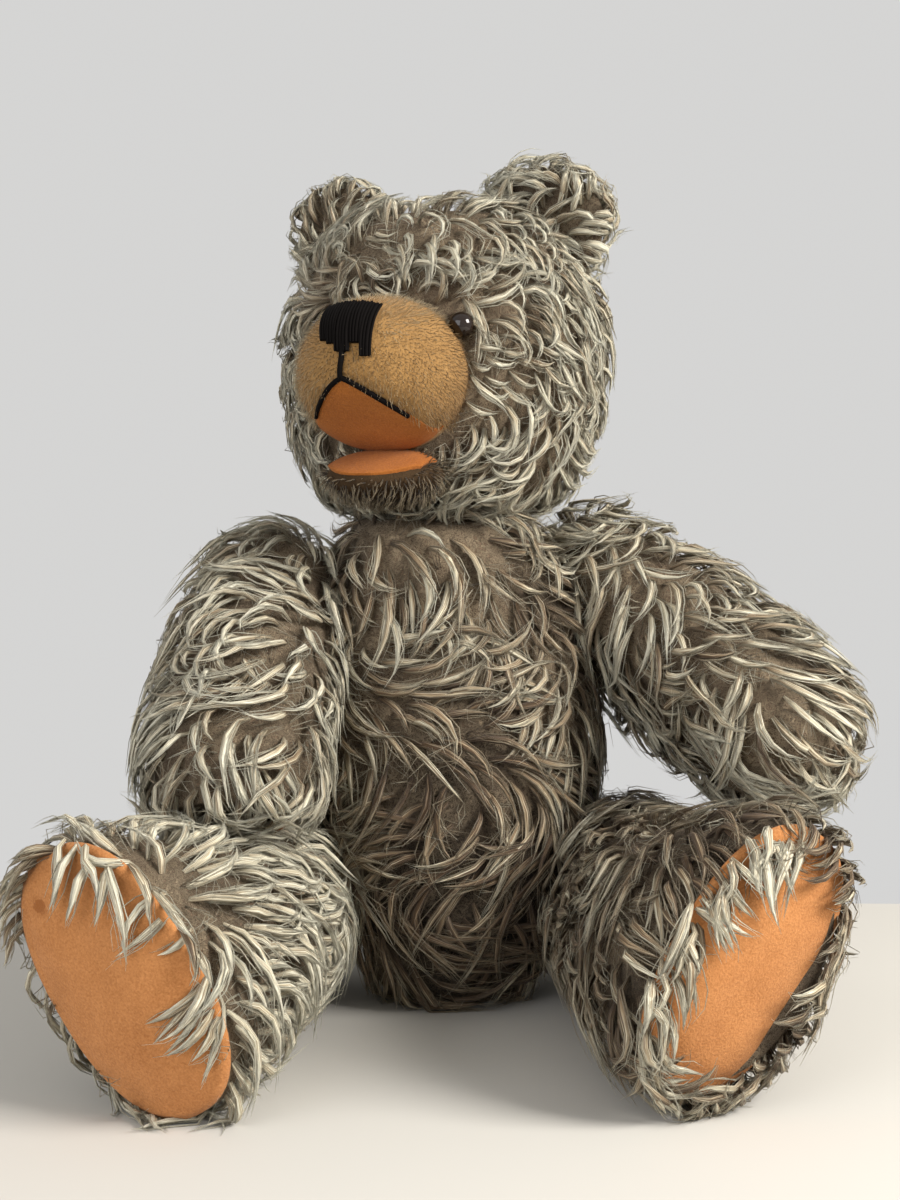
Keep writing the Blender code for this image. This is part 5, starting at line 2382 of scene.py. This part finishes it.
@dataclass
class Studio:
    """The floor, the lights and the camera.

    Attributes:
        azimuth: Where the camera stands round the bear, in degrees.
        distance: How far from the bear it stands.
        height: How high it stands.
        pitch: How far it looks down, in degrees.
        lens: Its focal length, in millimetres.
        shift: How far its picture is shifted.
        floor_half: Half the floor's width.
        floor_back: How far the floor reaches behind the bear.
        floor_turn: How far it is turned, in degrees.
        floor_colour: Its colour.
        surround: The colour of the light all round.
        backdrop: The colour that shows behind the bear.
    """

    azimuth: float = -9.0
    distance: float = 0.78
    height: float = 0.21
    pitch: float = 4.0
    lens: float = 57.0
    shift: tuple[float, float] = (0.00417, 0.00693)
    floor_half: float = 0.55
    floor_back: float = 0.149
    floor_turn: float = -11.0
    floor_colour: Colour = (0.585, 0.567, 0.53)
    surround: Colour = (0.72, 0.70, 0.66)
    backdrop: Colour = (0.665, 0.662, 0.655)

    def floor(self) -> None:
        """Lays a plain pale floor."""
        shape = bmesh.new()
        bmesh.ops.create_grid(shape, x_segments=1, y_segments=1, size=self.floor_half)
        for vertex in shape.verts:
            vertex.co.y = self.floor_back if vertex.co.y > 0 else -self.floor_half
        bmesh.ops.rotate(shape, verts=shape.verts, cent=Vector(), matrix=Matrix.Rotation(
            math.radians(self.floor_turn), 3, "Z"))
        material = bpy.data.materials.new("floor")
        material.use_nodes = True
        shader = material.node_tree.nodes["Principled BSDF"]
        shader.inputs["Base Color"].default_value = (*self.floor_colour, 1)
        shader.inputs["Roughness"].default_value = 0.9
        object_from("floor", shape, material)

    def lamp(self, name: str, place: Vector, size: float, power: float, colour: Colour) -> None:
        """Adds a soft lamp that faces the bear.

        Args:
            name: The lamp's name.
            place: Where it stands.
            size: Its width.
            power: Its power.
            colour: Its colour.
        """
        light = bpy.data.lights.new(name, "AREA")
        light.energy = power
        light.size = size
        light.color = colour
        lamp = bpy.data.objects.new(name, light)
        lamp.location = place
        lamp.rotation_euler = (Vector((0, 0, 0.15)) - place).to_track_quat("-Z", "Y").to_euler()
        bpy.context.scene.collection.objects.link(lamp)

    def world(self) -> None:
        """A pale even surround."""
        made = bpy.data.worlds.new("surround")
        bpy.context.scene.world = made
        made.use_nodes = True
        graph = Graph(made.node_tree)
        light = made.node_tree.nodes["Background"]
        ray = graph.node("ShaderNodeLightPath", {}, {})
        seen = graph.math("MAXIMUM", graph.out(ray, "Is Camera Ray"), graph.out(ray, "Is Glossy Ray"))
        seen = graph.math("MAXIMUM", seen, graph.out(ray, "Is Transmission Ray"))
        colour = graph.mixed(seen, self.surround, self.backdrop)
        graph.tree.links.new(colour.socket, light.inputs["Color"])
        strength = seen * 0.32 + 0.68
        graph.tree.links.new(strength.socket, light.inputs["Strength"])

    def camera(self) -> None:
        """Stands the camera in front and a little to the bear's right."""
        turn, pitch = math.radians(self.azimuth), math.radians(self.pitch)
        made = bpy.data.cameras.new("camera")
        made.lens = self.lens
        made.sensor_width = 36.0
        made.shift_x, made.shift_y = self.shift
        camera = bpy.data.objects.new("camera", made)
        camera.location = (math.sin(turn) * self.distance, -math.cos(turn) * self.distance, self.height)
        forward = Vector((-math.sin(turn) * math.cos(pitch), math.cos(turn) * math.cos(pitch),
                          -math.sin(pitch)))
        camera.rotation_euler = forward.to_track_quat("-Z", "Y").to_euler()
        bpy.context.scene.collection.objects.link(camera)
        bpy.context.scene.camera = camera

    def build(self) -> None:
        """Builds the studio."""
        self.floor()
        self.lamp("key", Vector((0.9, -0.75, 0.80)), 0.6, 29.5, (1.0, 0.965, 0.91))
        self.lamp("fill", Vector((-0.9, -0.9, 0.5)), 1.0, 8.5, (0.98, 0.98, 1.0))
        self.world()
        self.camera()
        bpy.context.scene.view_settings.view_transform = "Standard"


def main() -> None:
    """Builds the bear and its studio."""
    logging.basicConfig(level=logging.INFO, format="%(message)s")
    noise.seed_set(NOISE_SEED)  # noise_vector takes its offsets from the clock without this
    finishes = Finishes()
    finishes.dress_frame()
    tree = LockTree(finishes.mohair)
    arms = {
        Side.LEFT: JointFrame("shoulder_left", Side.LEFT, 31, 12, -49),
        Side.RIGHT: JointFrame("shoulder_right", Side.RIGHT, 16, 0, -46),
    }
    legs = {
        Side.LEFT: JointFrame("hip_left", Side.LEFT, -20, -6, -1.5),
        Side.RIGHT: JointFrame("hip_right", Side.RIGHT, -20, 16, 0),
    }
    body_coat = Coat(spacing=0.0069, length=0.033, width=0.0023, lift=0.0050, curl=1.9, scatter=0.80)
    head_coat = Coat(spacing=0.0054, length=0.023, width=0.0018, lift=0.0055, curl=2.9, scatter=0.9,
                     hook=0.5, wave=0.0004)
    arm_coat = Coat(spacing=0.0066, length=0.034, width=0.0023, lift=0.0060, curl=1.9, scatter=0.60)
    leg_coat = Coat(spacing=0.0070, length=0.035, width=0.0025, lift=0.0060, curl=1.6, scatter=0.50)
    Torso(finishes, tree, "torso", 11, 8, coat=body_coat, joints=[*arms.values(), *legs.values()]).build()
    Head(finishes, tree, "head", 53, 8, coat=head_coat).build()
    Arm(finishes, tree, "arm_left", 24, coat=arm_coat, joint=arms[Side.LEFT]).build()
    Arm(finishes, tree, "arm_right", 22, coat=arm_coat, joint=arms[Side.RIGHT]).build()
    Leg(finishes, tree, "leg_left", 38, coat=leg_coat, joint=legs[Side.LEFT], radius=0.041, sole_turn=25,
        stream=-1.0, base_tone=0.40,
        fringes=[Fringe(tuple(range(8, 160, 6)), (-0.45, -0.90), 0.75, 0.75, 0.18),
                 Fringe(tuple(range(40, 160, 9)), (-0.80, -0.60), 0.55, 0.85, 0.10),
                 Fringe(tuple(range(166, 350, 11)), (0.10, -1.0), 0.55, 0.55)]).build()
    Leg(finishes, tree, "leg_right", 36, coat=leg_coat, joint=legs[Side.RIGHT], radius=0.041, sole_turn=19,
        base_tone=1.2, hole=Vector((0.35, -0.72, 0)),
        fringes=[Fringe((18, 23, 28, 34, 40, 46), (-0.05, -1.0), 0.70, 0.95, 0.15),
                 Fringe((104, 108, 113, 118, 122), (-0.8, -0.5), 0.80, 0.90, 0.10),
                 Fringe(tuple(range(-50, 14, 6)), (-1.0, -0.25), 0.60, 0.40),
                 Fringe(tuple(range(55, 100, 9)), (0.2, -1.0), 0.60, 0.70)]).build()
    Studio().build()


if __name__ == "__main__":
    main()
